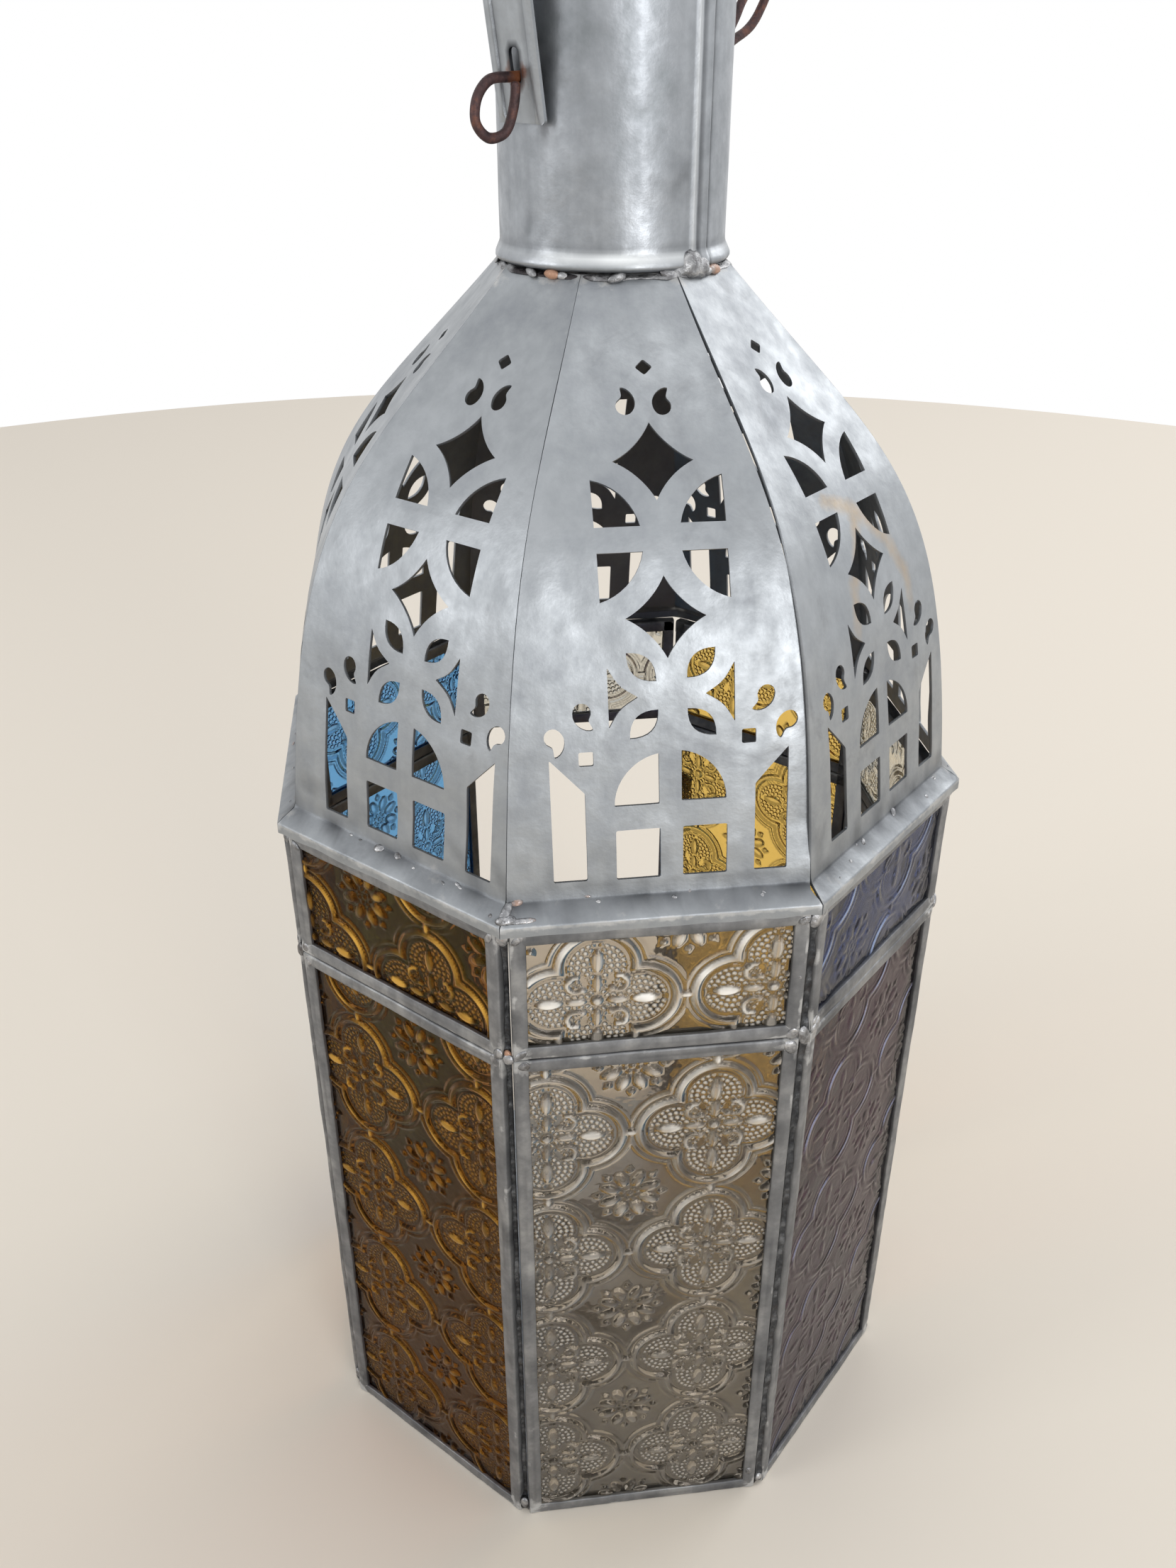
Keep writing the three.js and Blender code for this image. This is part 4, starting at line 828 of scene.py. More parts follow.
def corner_solder(index, fill):
    """Solder in the groove between two faces: a wedge section carried up the corner. Its hollow face lies `fill` of
    the way from the groove's foot to its mouth, waves as the iron dwelt, and swells at the frames' joints."""
    z = np.linspace(SEAT_GAP, FRAME_TOP, 190)[:, None]
    joints = sum(bell(z, at, reach) for at, reach in ((3, 3), (LOWER_HEIGHT, 4), (FRAME_TOP - 2, 3)))
    uneven = 0.22 * waves(300 + index, 18, z) + 0.12 * waves(320 + index, 6, z)
    level = np.clip(fill + uneven + 0.75 * joints, 0.05, 1.1)
    v = np.linspace(-1, 1, 9)[None]
    radius = GROOVE_START + 0.1 + (GROOVE_DEPTH - 0.5) * level + 0.4 * v ** 2

    def half(r):
        return (r - GROOVE_FOOT) * math.tan(HALF_TURN) - 0.1

    outer = np.stack([radius, v * half(radius), z + 0 * v], -1)
    inner = np.stack([GROOVE_START + 0 * z, half(GROOVE_START) + 0 * z, z], -1)
    points = np.concatenate([outer, inner, inner * [1, -1, 1]], 1)
    rows, columns = points.shape[:2]
    name = f"{FACE_NAMES[index]}_to_{FACE_NAMES[(index + 1) % FACES]}"
    # the solder's dark colour is painted shade of the deep groove
    add_piece(
        f"corner_{name}_solder_run", turned(points, -math.pi / 2 - (index + 0.5) * TURN),
        [grid_faces(rows, columns, False, True), *end_faces(rows, columns)],
        GROOVE_SOLDER_AND_SHADE, "lantern", f"corner_solder_{name}", sharp=70,
    )


for index, face in enumerate(FACE_NAMES):
    colour = PANE_COLOURS[index % len(PANE_COLOURS)]
    place = lambda points, index=index: to_face(points, index)
    framed_pane(
        "band", face, f"band_{{}}_{face}", BAND_HEIGHT, BAND_FOOT, BAND_PHASE[face], colour, place, "lantern",
        10 * index,
    )
    if index != DOOR_FACE:
        framed_pane(
            "lower", face, f"lower_{{}}_{face}", LOWER_HEIGHT, 0, PANE_PHASE[face], colour, place, "lantern",
            10 * index + 5,
        )
framed_pane("door", "", "door_{}", DOOR_HEIGHT, DOOR_LIFT, PANE_PHASE["back"], "clear", to_door, "door", 77)
for index, fill in GROOVE_FILL.items():
    corner_solder(index, fill)


# ---------------------------------------------------------------- pierced dome panels

def dome_line():
    """The sheet's outer line across a panel's middle: up the lip, in along the ledge, then a cubic curve to the neck.
    Returns its length from the ledge's crease, its apothem and its height."""
    t = np.linspace(0, 1, 400)[:, None]
    ends = (DOME_BASE_APOTHEM, DOME_FOOT), (DOME_TOP_APOTHEM, DOME_TOP)
    p0, p1, p2, p3 = np.array([ends[0], SHOULDER_LOW, SHOULDER_HIGH, ends[1]], float)
    curve = (1 - t) ** 3 * p0 + 3 * t * (1 - t) ** 2 * p1 + 3 * t ** 2 * (1 - t) * p2 + t ** 3 * p3
    lip = BODY_APOTHEM + SEAT_GAP + SHEET
    bends = [(lip, FRAME_TOP - LIP_OVERLAP), (lip, DOME_FOOT - LEDGE_DROP), tuple(p0), tuple(curve[20])]
    foot = rounded(bends, [0, 0.45, 0.8, 0], 6, False)
    line = np.concatenate([foot[:-1], curve[20:]])
    length, bezier = run_along(line), run_along(curve)
    return length - length[-1] + bezier[-1], line[:, 0], line[:, 1]


LINE_LENGTH, LINE_APOTHEM, LINE_HEIGHT = dome_line()
LINE_SLOPE = np.stack([np.gradient(LINE_APOTHEM), np.gradient(LINE_HEIGHT)])
LINE_SLOPE /= np.linalg.norm(LINE_SLOPE, axis=0)

COMMA = np.array([
    (1.92, 4.85), (0.19, 4.64), (-1.37, 3.4), (-2.28, 1.62), (-2.25, -0.19), (-1.49, -1.75), (-0.13, -2.31),
    (1.34, -1.85), (2.14, -0.6), (2.13, 0.95), (1.09, 2.15), (1.34, 3.31),
])
COMMAS = [
    (-(PANEL_HALF_WIDTH - 10.2), 37.5, 203, 1), (-(PANEL_HALF_WIDTH - 17.3), 42.5, 191, -1),
    (PANEL_HALF_WIDTH - 14.6, 44.9, 155, 1), (PANEL_HALF_WIDTH - 8.7, 38.3, 136, -1),
    (-5.2, 113.4, -13, -1), (3.6, 113.3, 0, 1),
]


def arc(centre, radius, start, end, steps):
    """Points on a circle from one angle to another, in degrees."""
    a = np.radians(np.linspace(start, end, steps + 1))
    return np.stack([centre[0] + radius * np.cos(a), centre[1] + radius * np.sin(a)], 1)


def star_outline(middle):
    """Four points joined by hollow arcs, centred between four touching rings."""
    corners = [(0, -STAR_HALF), (STAR_HALF, 0), (0, STAR_HALF), (-STAR_HALF, 0)]
    sides = []
    for (x, s), (nx, ns) in zip(corners, corners[1:] + corners[:1]):
        c = np.array([np.sign(x + nx) * STAR_BOW, np.sign(s + ns) * STAR_BOW])
        a0, a1 = math.degrees(math.atan2(s - c[1], x - c[0])), math.degrees(math.atan2(ns - c[1], nx - c[0]))
        a1 = a1 - 360 if a1 - a0 > 180 else a1 + 360 if a1 - a0 < -180 else a1
        sides.append(arc(c, math.hypot(x - c[0], s - c[1]), a0, a1, 10)[:-1])
    return np.concatenate(sides) + [0, middle]


def ring_segment(side):
    """The inner half of a ring beside the middle line, above or below its cross bar."""
    rise = math.sqrt(RING_RADIUS ** 2 - (RING_CENTRE_X - RING_CHORD_X) ** 2)
    a0, a1 = (180 - math.degrees(math.asin(up / RING_RADIUS)) for up in (RING_HALF_BAR, rise))
    curve = arc((RING_CENTRE_X, 0), RING_RADIUS, a0, a1, 9)
    outline = np.concatenate([[(RING_CHORD_X, RING_HALF_BAR)], curve]) * [1, side] + [0, (STAR_LOW_S + STAR_HIGH_S) / 2]
    return outline if side > 0 else outline[::-1]


def leaf_outline(rise):
    """A pointed leaf on a diagonal of the flower: two shallow arcs that meet at its tips."""
    t = np.linspace(-1, 1, 9)
    edge = np.stack([9.8 + 4.8 * t, 2.5 * (1 - t * t)], 1)
    along, aside = np.concatenate([edge, edge[1:-1][::-1] * [1, -1]]).T
    return np.stack([(along - aside) * math.sqrt(0.5), FLOWER_S + rise * (along + aside) * math.sqrt(0.5)], 1)


def horn_outline():
    """A hollow-sided triangle beside the flower."""
    offsets = [(7.7, 0), (12.1, -2.7), (14.7, -7.2), (14.7, 7.2), (12.1, 2.7)]
    points = [(x, FLOWER_S + s) for x, s in offsets]
    return rounded(points, [0.3, 3, 0.4, 0.4, 3], 3)


def comma_outline(x, s, turn, hand):
    """A comma with a round head, its tail curled away from it."""
    c, d = cos_sin(turn)
    a, b = hand * COMMA[:, 0], COMMA[:, 1]
    return rounded(np.stack([x + a * c - b * d, s + a * d + b * c], 1), 0.9, 2)


def panel_holes(shift_x, shift_s, seed):
    """All the cut-outs of a panel on the flat sheet, chiselled by eye: each one a little off its marked place."""
    def mirrored(cuts):
        return [o * [-1, 1] for o in cuts]

    def square(x, s):
        half = PIN_SQUARE_HALF
        return rounded(rectangle(x - half, x + half, s - half, s + half), 0.5)

    arch_end = math.degrees(math.asin(math.sqrt(ARCH_RADIUS ** 2 - (ARCH_START - ARCH_CENTRE[0]) ** 2) / ARCH_RADIUS))
    arch = [[(ARCH_START, ARCH_CENTRE[1])], arc(ARCH_CENTRE, ARCH_RADIUS, 0, arch_end, 10)]
    right = [
        rounded(rectangle(ARCH_START, 13.5, 0, 13.1), 0.55), rounded(np.concatenate(arch), 0.25, 2),
        rounded([(SLOT_INNER, 0), (SLOT_OUTER, 0), (SLOT_OUTER, 31.6), (SLOT_INNER, 22.8)], 0.5),
        ring_segment(1), ring_segment(-1),
    ]
    flower = [leaf_outline(1), leaf_outline(-1), horn_outline()]
    beside = [FLOWER_SHIFT, 0]
    all_cuts = right + [o + beside for o in flower] + mirrored(right) + [o + beside for o in mirrored(flower)]
    tip = np.array([(0, -1), (1, 0), (0, 1), (-1, 0)]) * TIP_DIAMOND_HALF + [0, TIP_DIAMOND_S]
    all_cuts += [star_outline(STAR_LOW_S), star_outline(STAR_HIGH_S), rounded(tip, 0.6)]
    all_cuts += [square(-19.8, 31.3), square(19.1, 34.9), *(comma_outline(*c) for c in COMMAS)]
    rng = np.random.default_rng(seed)
    placed = []
    for o in all_cuts:
        o = o + rng.normal(0, 0.16, 2)
        x = o[:, 0] + PATTERN_SHIFT - PATTERN_LEAN * o[:, 1] + shift_x
        placed.append(resampled(np.stack([x, o[:, 1] + PATTERN_FOOT + shift_s], 1), 1.6))
    return placed


def near_line(points, line):
    """Distance of each point from an open line."""
    return distance_to(points, np.concatenate([line, line[::-1]]))


def panel_shape(face, index, x, s, edge):
    """How far the sheet stands off its drawn line: slow and quick dents, and on the front panel the creases by the
    flower and the planishing marks down its right edge."""
    height = edge * (0.3 * waves(60 + index, 38, x, s) + 0.1 * waves(70 + index, 14, x, s))
    height = height + bell(s, -2.5, 2.2) * (0.2 * waves(150 + index, 7, x, s) + 0.08 * waves(160 + index, 2.8, x, s))
    if face == "front":
        crease = bell(x - 18 - 0.25 * (s - 70), 0, 5.5) * bell(s, 72, 9)
        height = height + 0.1 * crease * np.sin(2 * math.pi * (x - 0.22 * (s - 70)) / 4.2)
        planished = bell(x, PANEL_HALF_WIDTH - 5, 4) * bell(s, 36, 24) * np.clip(edge * 6, 0, 1)
        height = height + 0.06 * planished * np.sin(2 * math.pi * s / 5.5 + 0.3 * x)
        height = height - 0.0016 * positive(x - 6) ** 2 * ramp(s, 4, 12) * ramp(-s, -110, 40)
    return height


def panel_outline(index, face, width_at):
    """The flat sheet's outline: its long edges leave uneven gaps beside the neighbours, widest on the front panel."""
    foot, top = LINE_LENGTH[0], LINE_LENGTH[-1]
    s = np.linspace(foot, top, 110)
    gap = 0.05 + 0.04 * (1 + waves(index, 50, s)) + 0.12 * bell(s, -3, 4)
    sprung = bell(s, 112, 34, 4)
    gap_right = gap + (0.5 * sprung + 0.1 + 0.75 * bell(s, -2.2, 1.6) if face == "front" else 0)
    gap_left = gap + (0.3 * sprung if face == "front_right" else 0)
    right = np.stack([width_at(s) - gap_right, s], 1)
    left = np.stack([-width_at(s) + gap_left, s], 1)[::-1]
    across = np.linspace(-1, 1, 42)[1:-1]
    top_edge = np.stack([across[::-1] * right[-1, 0], np.full(40, top)], 1)
    foot_edge = np.stack([across * right[0, 0], foot + 0.25 * (waves(40 + index, 15, across * 40) + 1)], 1)
    return np.concatenate([right, top_edge, left, foot_edge])


def dome_panel(index, face):
    """The panel's flat sheet with its cut-outs, bent to the dome's line and set on its face."""
    foot, top = LINE_LENGTH[0], LINE_LENGTH[-1]

    def width_at(s):
        return np.interp(s, LINE_LENGTH, LINE_APOTHEM) * math.tan(HALF_TURN)

    def to_sheet(flat):
        x, s = flat.T
        apothem, height = np.interp(s, LINE_LENGTH, LINE_APOTHEM), np.interp(s, LINE_LENGTH, LINE_HEIGHT)
        slope = [np.interp(s, LINE_LENGTH, c) for c in LINE_SLOPE]
        out = np.stack([0 * x, -slope[1], -slope[0]], 1)
        edge = ramp(width_at(s) - np.abs(x), 0, 9) * ramp(s, 2, 10) * ramp(top - s, 0, 12)
        outer = np.stack([x, -apothem, height], 1) + out * panel_shape(face, index, x, s, edge)[:, None]
        return outer, outer - out * SHEET

    step_s = np.concatenate([LINE_LENGTH[LINE_LENGTH < 2.5][1::2], np.arange(3.4, top - 0.6, SHEET_STEP)])
    gx, gs = np.meshgrid(np.arange(-39.6, 39.7, SHEET_STEP), step_s)
    holes = panel_holes(*PANEL_SHIFT[face], 90 + index)
    outline = panel_outline(index, face, width_at)
    points, faces, flat, _ = cut_sheet(outline, holes, np.stack([gx.ravel(), gs.ravel()], 1), to_sheet)
    x, s = flat.T
    ledge = bell(s, -2.5, 3.2)
    # pale solder smears; the third term is a painted highlight line on the lip, just below its bend
    pale_smear_and_highlight = (
        0.62 * np.exp(-(top - s) / 7) * (0.7 + 0.5 * waves(80 + index, 7, x, s))
        + ledge * (0.34 + 0.3 * waves(110 + index, 5, x * 0.6, s * 1.4))
        + 0.6 * bell(s - foot - 2.4 - 0.3 * waves(175 + index, 18, x), 0, 0.8)
        + 0.34 * bell(width_at(s) - np.abs(x), 0, 1.6) * (0.5 + 0.5 * waves(120 + index, 25, s))
        + 0.55 * np.clip(waves(130 + index, 13, x, s) - 0.95, 0, 1)
    )
    # dirt and painted shade: dark under the neck's foot, painted shade in the crease and on the bend above, ledge dirt
    dirt_and_shade = (
        0.8 * bell(top - s, 0, 2.0) * np.clip(0.75 + 0.4 * waves(145 + index, 5, x, s), 0, 1)
        + 0.4 * bell(s, -0.1, 0.5) + ledge * np.clip(0.3 + 0.3 * waves(140 + index, 7, x * 0.5, s), 0, 0.65)
        + 0.16 * bell(s, 2, 2.2) + 0.3 * bell(s, 4, 10) * np.clip(0.25 + waves(165 + index, 9, x, s), 0, 1)
    )
    # broken dark lines along the ledge and just above the crease
    for at, half, deep in ((-1.1, 0.35, 0.34), (-2.9, 0.3, 0.24), (1.3, 0.4, 0.22)):
        broken = np.clip(0.55 + 0.6 * waves(172 + index, 12, x, s * 0 + at), 0, 1)
        dirt_and_shade = dirt_and_shade + deep * bell(s - at - 0.3 * waves(170 + index, 30, x), 0, half) * broken
    stain = 0 * x
    if face == "front_right":
        wet = [bell(near_line(flat, np.array(line, float)), 0, 2.6) for line in STAIN]
        stain = np.max(wet, axis=0) * np.clip((s - 42) / 20, 0.2, 0.9)
    # the inner skin is painted dark all over: painted shade
    marks = {"dirt_and_shade": (dirt_and_shade, 0.62 + 0 * x), "solder_smear_and_highlight": (pale_smear_and_highlight, 0 * x), "stain": (stain, 0 * x)}
    add_piece(
        f"dome_{face}_pierced_sheet", to_face(points, index), faces, SHEET_METAL, "lantern", f"dome_panel_{face}",
        {key: np.clip(np.concatenate(skins), 0, 1) for key, skins in marks.items()}, 35,
    )


for index, face in enumerate(FACE_NAMES):
    dome_panel(index, face)


# ---------------------------------------------------------------- neck

def neck():
    """A rolled tube: one closed section turned about the axis, with a flared foot, a rolled rim, and the lock seam:
    a sharp ridge, a groove beside it, the flat of the fold, then its second edge."""
    theta = circle(240)
    foot = [
        (-SHEET, 0.1), (0.6, 0), (1.05, 0.25), (1.32, 0.8), (1.3, 1.4), (1.1, 1.95), (0.6, 2.95), (0.2, 3.75),
        (0.05, 4.3), (0, 5.2), (0, 6.6),
    ]
    wall = [(0, z) for z in np.linspace(8, NECK_HEIGHT - 3, 30)]
    roll = [(0.65 + NECK_RIM_ROLL * c, NECK_HEIGHT + NECK_RIM_ROLL * s) for c, s in map(cos_sin, range(-110, 201, 26))]
    inner = [(-SHEET, NECK_HEIGHT - 1.5), (-SHEET, NECK_HEIGHT * 0.66), (-SHEET, NECK_HEIGHT * 0.33)]
    section = np.array(foot + wall + roll + inner)
    offset, height = section[:, 0][None], section[:, 1][None]
    spread = 0.055 * np.sin(2 * (theta - math.radians(SEAM_AT)))
    angle = (theta - spread)[:, None]
    outside = (offset > -0.5) & (height < NECK_HEIGHT - 2)
    seam = signed_degrees(angle) - SEAM_AT
    fold = 0.5 * (np.tanh((seam + 4.8) / 0.5) - np.tanh((seam - 6.6) / 0.5))
    lock = 0.2 * fold + 0.42 * ridge(seam, -3.7, 2.0) - 0.42 * ridge(seam, 0.2, 1.6)
    lock = lock + 0.3 * ridge(seam, 5.2, 1.7) - 0.3 * ridge(seam, 7.8, 1.2)
    around = angle * NECK_RADIUS
    dents = 0.17 * waves(7, 34, around, height * 0.6) + 0.05 * waves(8, 11, around, height * 0.5)
    free = ramp(NECK_HEIGHT - height, 0, 12) * ramp(height, 3, 9)
    dimples = 0.16 * waves(9, 9, around) * bell(height, 1.5, 1.6)
    uneven = lock * np.clip((height - 1) / 4, 0.25, 1) + dents * free + dimples
    radius = NECK_RADIUS + offset + np.where(outside, uneven, 0)
    points = np.stack([radius * np.cos(angle), radius * np.sin(angle), NECK_FOOT + height + 0 * angle], -1)
    up_slot = (NECK_FOOT + height - PIVOT_HEIGHT - 1.2) / 6.4
    from_slot = [
        np.hypot(((angle - at + math.pi) % (2 * math.pi) - math.pi) * NECK_RADIUS / 5.2, up_slot)
        for at in (HANDLE_TURN, HANDLE_TURN - math.pi)
    ]
    # dirt and painted shade: dark seam grooves and wire holes, a dark band atop the flare, painted shade under it
    dirt_and_shade = (
        0.72 * ridge(seam, 0.3, 1.7) + 0.55 * ridge(seam, 7.6, 1.3) + 0.85 * np.exp(-np.minimum(*from_slot) ** 4)
        + 0.3 * bell(height, 4.6, 0.9) + 0.85 * np.exp(-height / 0.45)
        + 0.5 * np.clip(waves(15, 24, around, height * 1.3) - 0.8, 0, 1) * bell(height, 14, 18)
    )
    degrees = signed_degrees(angle)
    for at, up, wide, tall in ((-66, 20, 13, 4.5), (-138, 8, 12, 5), (-128, 46, 9, 10), (60, 30, 20, 9)):
        blotch = bell(degrees, at, wide) * bell(height, up, tall)
        dirt_and_shade = dirt_and_shade + 0.34 * blotch * np.clip(0.45 + 0.9 * waves(17, 6, around, height), 0, 1)
    # painted highlights: a bright line on the seam's ridge and a band on the flare, brightest at -97 degrees
    flare = bell(height, 2.9, 1.3) * (0.12 + 0.75 * bell(degrees, -97, 33, 4)) * (1 + 0.25 * waves(16, 12, around))
    seam_and_flare_highlight = np.where(outside, 0.5 * ridge(seam, -3.7, 1.4) + flare, 0)
    # inside the tube and on its rolled rim the sheet is painted dark: painted shade
    marks = {"dirt_and_shade": np.where(outside, dirt_and_shade, 0.85), "painted_highlight": seam_and_flare_highlight}
    faces = grid_faces(len(theta), section.shape[0], True, True)[:, ::-1]
    add_piece(
        "neck_rolled_sheet", points, faces, NECK_METAL, "lantern", "neck_tube",
        {key: np.clip(mark, 0, 1).ravel() for key, mark in marks.items()}, 60,
    )


def neck_solder():
    """The solder under the neck's foot: a low bead along the panels' top edges, its section swelling and shrinking
    as it goes round, dark where flux has burnt."""
    theta = circle(360)[:, None]
    around = theta * NECK_RADIUS
    face_angle = (theta + math.pi / 2 + HALF_TURN) % TURN - HALF_TURN
    swell = np.clip(0.35 + 0.5 * waves(21, 15, around) + 0.1 * waves(22, 6, around), 0, 1.4)
    phi = circle(16)[None]
    centre = np.minimum(DOME_TOP_APOTHEM / np.cos(face_angle) + 0.45, 29.3)
    radius = centre + (0.75 + 0.5 * swell) * np.cos(phi)
    down = (radius * np.cos(face_angle) - DOME_TOP_APOTHEM) * 0.62
    height = DOME_TOP - 0.35 - down + (0.25 + 0.3 * swell) * np.sin(phi)
    points = np.stack([radius * np.cos(theta), radius * np.sin(theta), height], -1)
    rust = np.clip(waves(23, 14, around) - 0.75, 0, 1) + 0 * phi
    burnt = 0.95 * bell(signed_degrees(theta + math.radians(130)), 0, 25, 4) + 0 * phi
    burnt = burnt + 0.5 * np.clip(waves(24, 20, around) - 0.3, 0, 1)
    add_piece(
        "neck_solder_run", points, grid_faces(360, 16, True, True)[:, ::-1], BURNT_SOLDER, "lantern", "neck_solder",
        {"rust": rust.ravel(), "burnt": burnt.ravel()},
    )


neck()
neck_solder()


# ---------------------------------------------------------------- strap handle and wire eyes

def handle_strap():
    """A hemmed strip: its flat pattern with two slots, carried along two leaning legs and the arch between them."""
    foot = NECK_RADIUS + STRAP_STANDOFF
    leg_top = foot + (STRAP_TAIL + STRAP_LEG) * math.tan(STRAP_LEAN)
    radius = leg_top / math.cos(STRAP_LEAN)
    arch_height = PIVOT_HEIGHT + STRAP_LEG + leg_top * math.tan(STRAP_LEAN)
    leg = (STRAP_TAIL + STRAP_LEG) / math.cos(STRAP_LEAN)
    sweep = math.pi + 2 * STRAP_LEAN
    total = 2 * leg + radius * sweep
    half = STRAP_WIDTH / 2
    slot_from = (STRAP_TAIL - WIRE_HOLE) / math.cos(STRAP_LEAN)
    slot_to = slot_from + STRAP_SLOT / math.cos(STRAP_LEAN)

    def slot(low, high):
        return resampled(rounded(rectangle(-WIRE_HOLE, WIRE_HOLE, low, high), 1.5, 5), 1.5)

    holes = [slot(slot_from, slot_to), slot(total - slot_to, total - slot_from)]
    outline = resampled(rounded(rectangle(-half, half, 0, total), 0.8, 3), 2.5)
    hem = half - STRAP_HEM
    columns = np.array([-half + 0.35, -half + 0.9, -hem - 0.75, -hem - 0.1, -hem + 0.15, -hem + 0.5, -3, -1.5, 0])
    gx, gs = np.meshgrid(np.concatenate([columns, -columns[:-1][::-1]]), np.arange(0.6, total - 0.3, 2.2))

    def to_sheet(flat):
        y, s = flat.T
        turn = -STRAP_LEAN + np.clip((s - leg) / radius, 0, sweep)
        up, down = np.clip(s, 0, leg), np.clip(s - leg - radius * sweep, 0, leg)
        on_leg = [s < leg, s > total - leg]
        line_r = np.select(
            on_leg, [foot + up * math.sin(STRAP_LEAN), -leg_top + down * math.sin(STRAP_LEAN)], radius * np.cos(turn),
        )
        line_z = np.select(
            on_leg, [PIVOT_HEIGHT - STRAP_TAIL + up * math.cos(STRAP_LEAN),
                     PIVOT_HEIGHT + STRAP_LEG - down * math.cos(STRAP_LEAN)], arch_height + radius * np.sin(turn),
        )
        out = np.stack([np.cos(turn), 0 * s, np.sin(turn)], 1)
        line = np.stack([line_r, y, line_z], 1)
        fold = 1 / (1 + np.exp(-(np.abs(y) - hem) / 0.06))
        edge = np.sqrt(np.clip(1 - np.clip((np.abs(y) - half + 0.8) / 0.8, 0, 1) ** 2, 0.05, 1))
        thick = STRAP_THICKNESS + STRAP_HEM_PROUD * fold
        wave = 0.1 * waves(31, 30, s, y) * ramp(s, 3, 12) * ramp(total - s, 3, 12)
        outer = line + out * (thick * (0.55 + 0.45 * edge) + wave)[:, None]
        inner = line + out * (0.3 * (1 - edge))[:, None]
        return outer, inner

    points, faces, _, clear = cut_sheet(outline, holes, np.stack([gx.ravel(), gs.ravel()], 1), to_sheet)
    points, clear = turned(points, HANDLE_TURN), np.tile(clear, 2)
    pivots = [turned(np.array([[side * 31.5, 0, PIVOT_HEIGHT + 0.5]]), HANDLE_TURN) for side in (1, -1)]
    from_pivot = np.minimum(*[np.linalg.norm(points - pivot, axis=1) for pivot in pivots])
    rust = 1.15 * np.exp(-(from_pivot / 3.4) ** 2)
    across = np.abs(points @ np.array([-math.sin(HANDLE_TURN), math.cos(HANDLE_TURN), 0]))
    in_slot = (from_pivot < 7) * (across < 1.75) * np.exp(-clear / 0.4)
    # painted shade: a dark line along each hem's step and on the slot walls
    dirt_and_shade = 0.6 * bell(across, hem - 0.15, 0.35) + in_slot
    add_piece(
        "handle_hemmed_strap", points, [f[:, ::-1] for f in faces], SHEET_METAL, "handle", "handle_strap",
        {"rust": rust, "dirt_and_shade": dirt_and_shade},
    )


def wire_eye(name, node, length, width, droop, shoulder, side):
    """A round wire carried along a smooth curve: clinched in the neck, out through the strap, round a drop-shaped loop,
    its end lapped beside its start."""
    wire = WIRE_DIAMETER / 2
    strap_face = NECK_RADIUS + STRAP_STANDOFF + STRAP_THICKNESS + STRAP_TAIL * math.tan(STRAP_LEAN)
    within = NECK_RADIUS - SHEET - WIRE_DIAMETER
    c, d = cos_sin(droop)
    hand = np.sign(droop)
    loop = [
        (0.34, shoulder), (0.66, 1), (0.94, 0.5), (0.96, -0.35), (0.72, -0.85), (0.4, -0.55), (0.2, -0.16), (0.1, 0.1),
    ]
    along, aside = (np.array(loop) * [length, width / 2]).T
    knots = np.concatenate([
        [(within, PIVOT_HEIGHT - 3 * WIRE_DIAMETER), (within, PIVOT_HEIGHT - WIRE_DIAMETER),
         (within + WIRE_DIAMETER, PIVOT_HEIGHT), (NECK_RADIUS, PIVOT_HEIGHT), (strap_face, PIVOT_HEIGHT),
         (strap_face + wire, PIVOT_HEIGHT)],
        np.stack([
            strap_face + wire + along * c + hand * aside * d, PIVOT_HEIGHT - along * d + hand * aside * c,
        ], 1),
    ])
    knots = np.concatenate([[2 * knots[0] - knots[1]], knots, [2 * knots[-1] - knots[-2]]])
    path = []
    for p0, p1, p2, p3 in zip(knots, knots[1:], knots[2:], knots[3:]):
        k = np.concatenate([[0], np.cumsum([np.linalg.norm(b - a) ** 0.5 for a, b in ((p0, p1), (p1, p2), (p2, p3))])])
        t = np.linspace(k[1], k[2], 13)[:-1, None]

        def between(p, q, start, end):
            return (k[end] - t) / (k[end] - k[start]) * p + (t - k[start]) / (k[end] - k[start]) * q

        a1, a2, a3 = between(p0, p1, 0, 1), between(p1, p2, 1, 2), between(p2, p3, 2, 3)
        path.append(between(between(a1, a2, 0, 2), between(a2, a3, 1, 3), 1, 2))
    path = np.concatenate(path + [knots[-2:-1]])
    along = np.gradient(path, axis=0)
    along /= np.linalg.norm(along, axis=1)[:, None]
    run = run_along(path)
    cap = np.sqrt(np.clip(1 - (1 - np.clip(np.minimum(run, run[-1] - run) / (wire * 0.6), 0, 1)) ** 2, 0.002, 1))
    phi = circle(WIRE_SIDES)[None]
    girth = (wire * cap)[:, None] * (1 + 0.05 * waves(int(length), 7, run[:, None], phi * 3))
    r = path[:, :1] + girth * np.cos(phi) * -along[:, 1:]
    z = path[:, 1:] + girth * np.cos(phi) * along[:, :1]
    lap = np.clip((run - 0.5 * run[-1]) / (0.48 * run[-1]), 0, 1)
    beside = side * -2.45 * (lap ** 2 * (3 - 2 * lap))[:, None]
    points = np.stack([r, girth * np.sin(phi) + beside, z], -1)
    rust = np.exp(-(np.hypot(r - strap_face, z - PIVOT_HEIGHT) / 3.4) ** 2) * 0.8
    points = turned(points, HANDLE_TURN + (math.pi if side < 0 else 0))
    faces = [grid_faces(len(path), WIRE_SIDES, False, True)[:, ::-1], *end_faces(len(path), WIRE_SIDES, False)]
    add_piece(name, points, faces, WIRE, "lantern", node, {"rust": rust.ravel()}, sharp=80)


handle_strap()
wire_eye("wire_eye_right_loop", "wire_eye_right", 31, 8.5, -41, 0.4, 1)
wire_eye("wire_eye_left_loop", "wire_eye_left", 15, 10.4, 48, 0.92, -1)


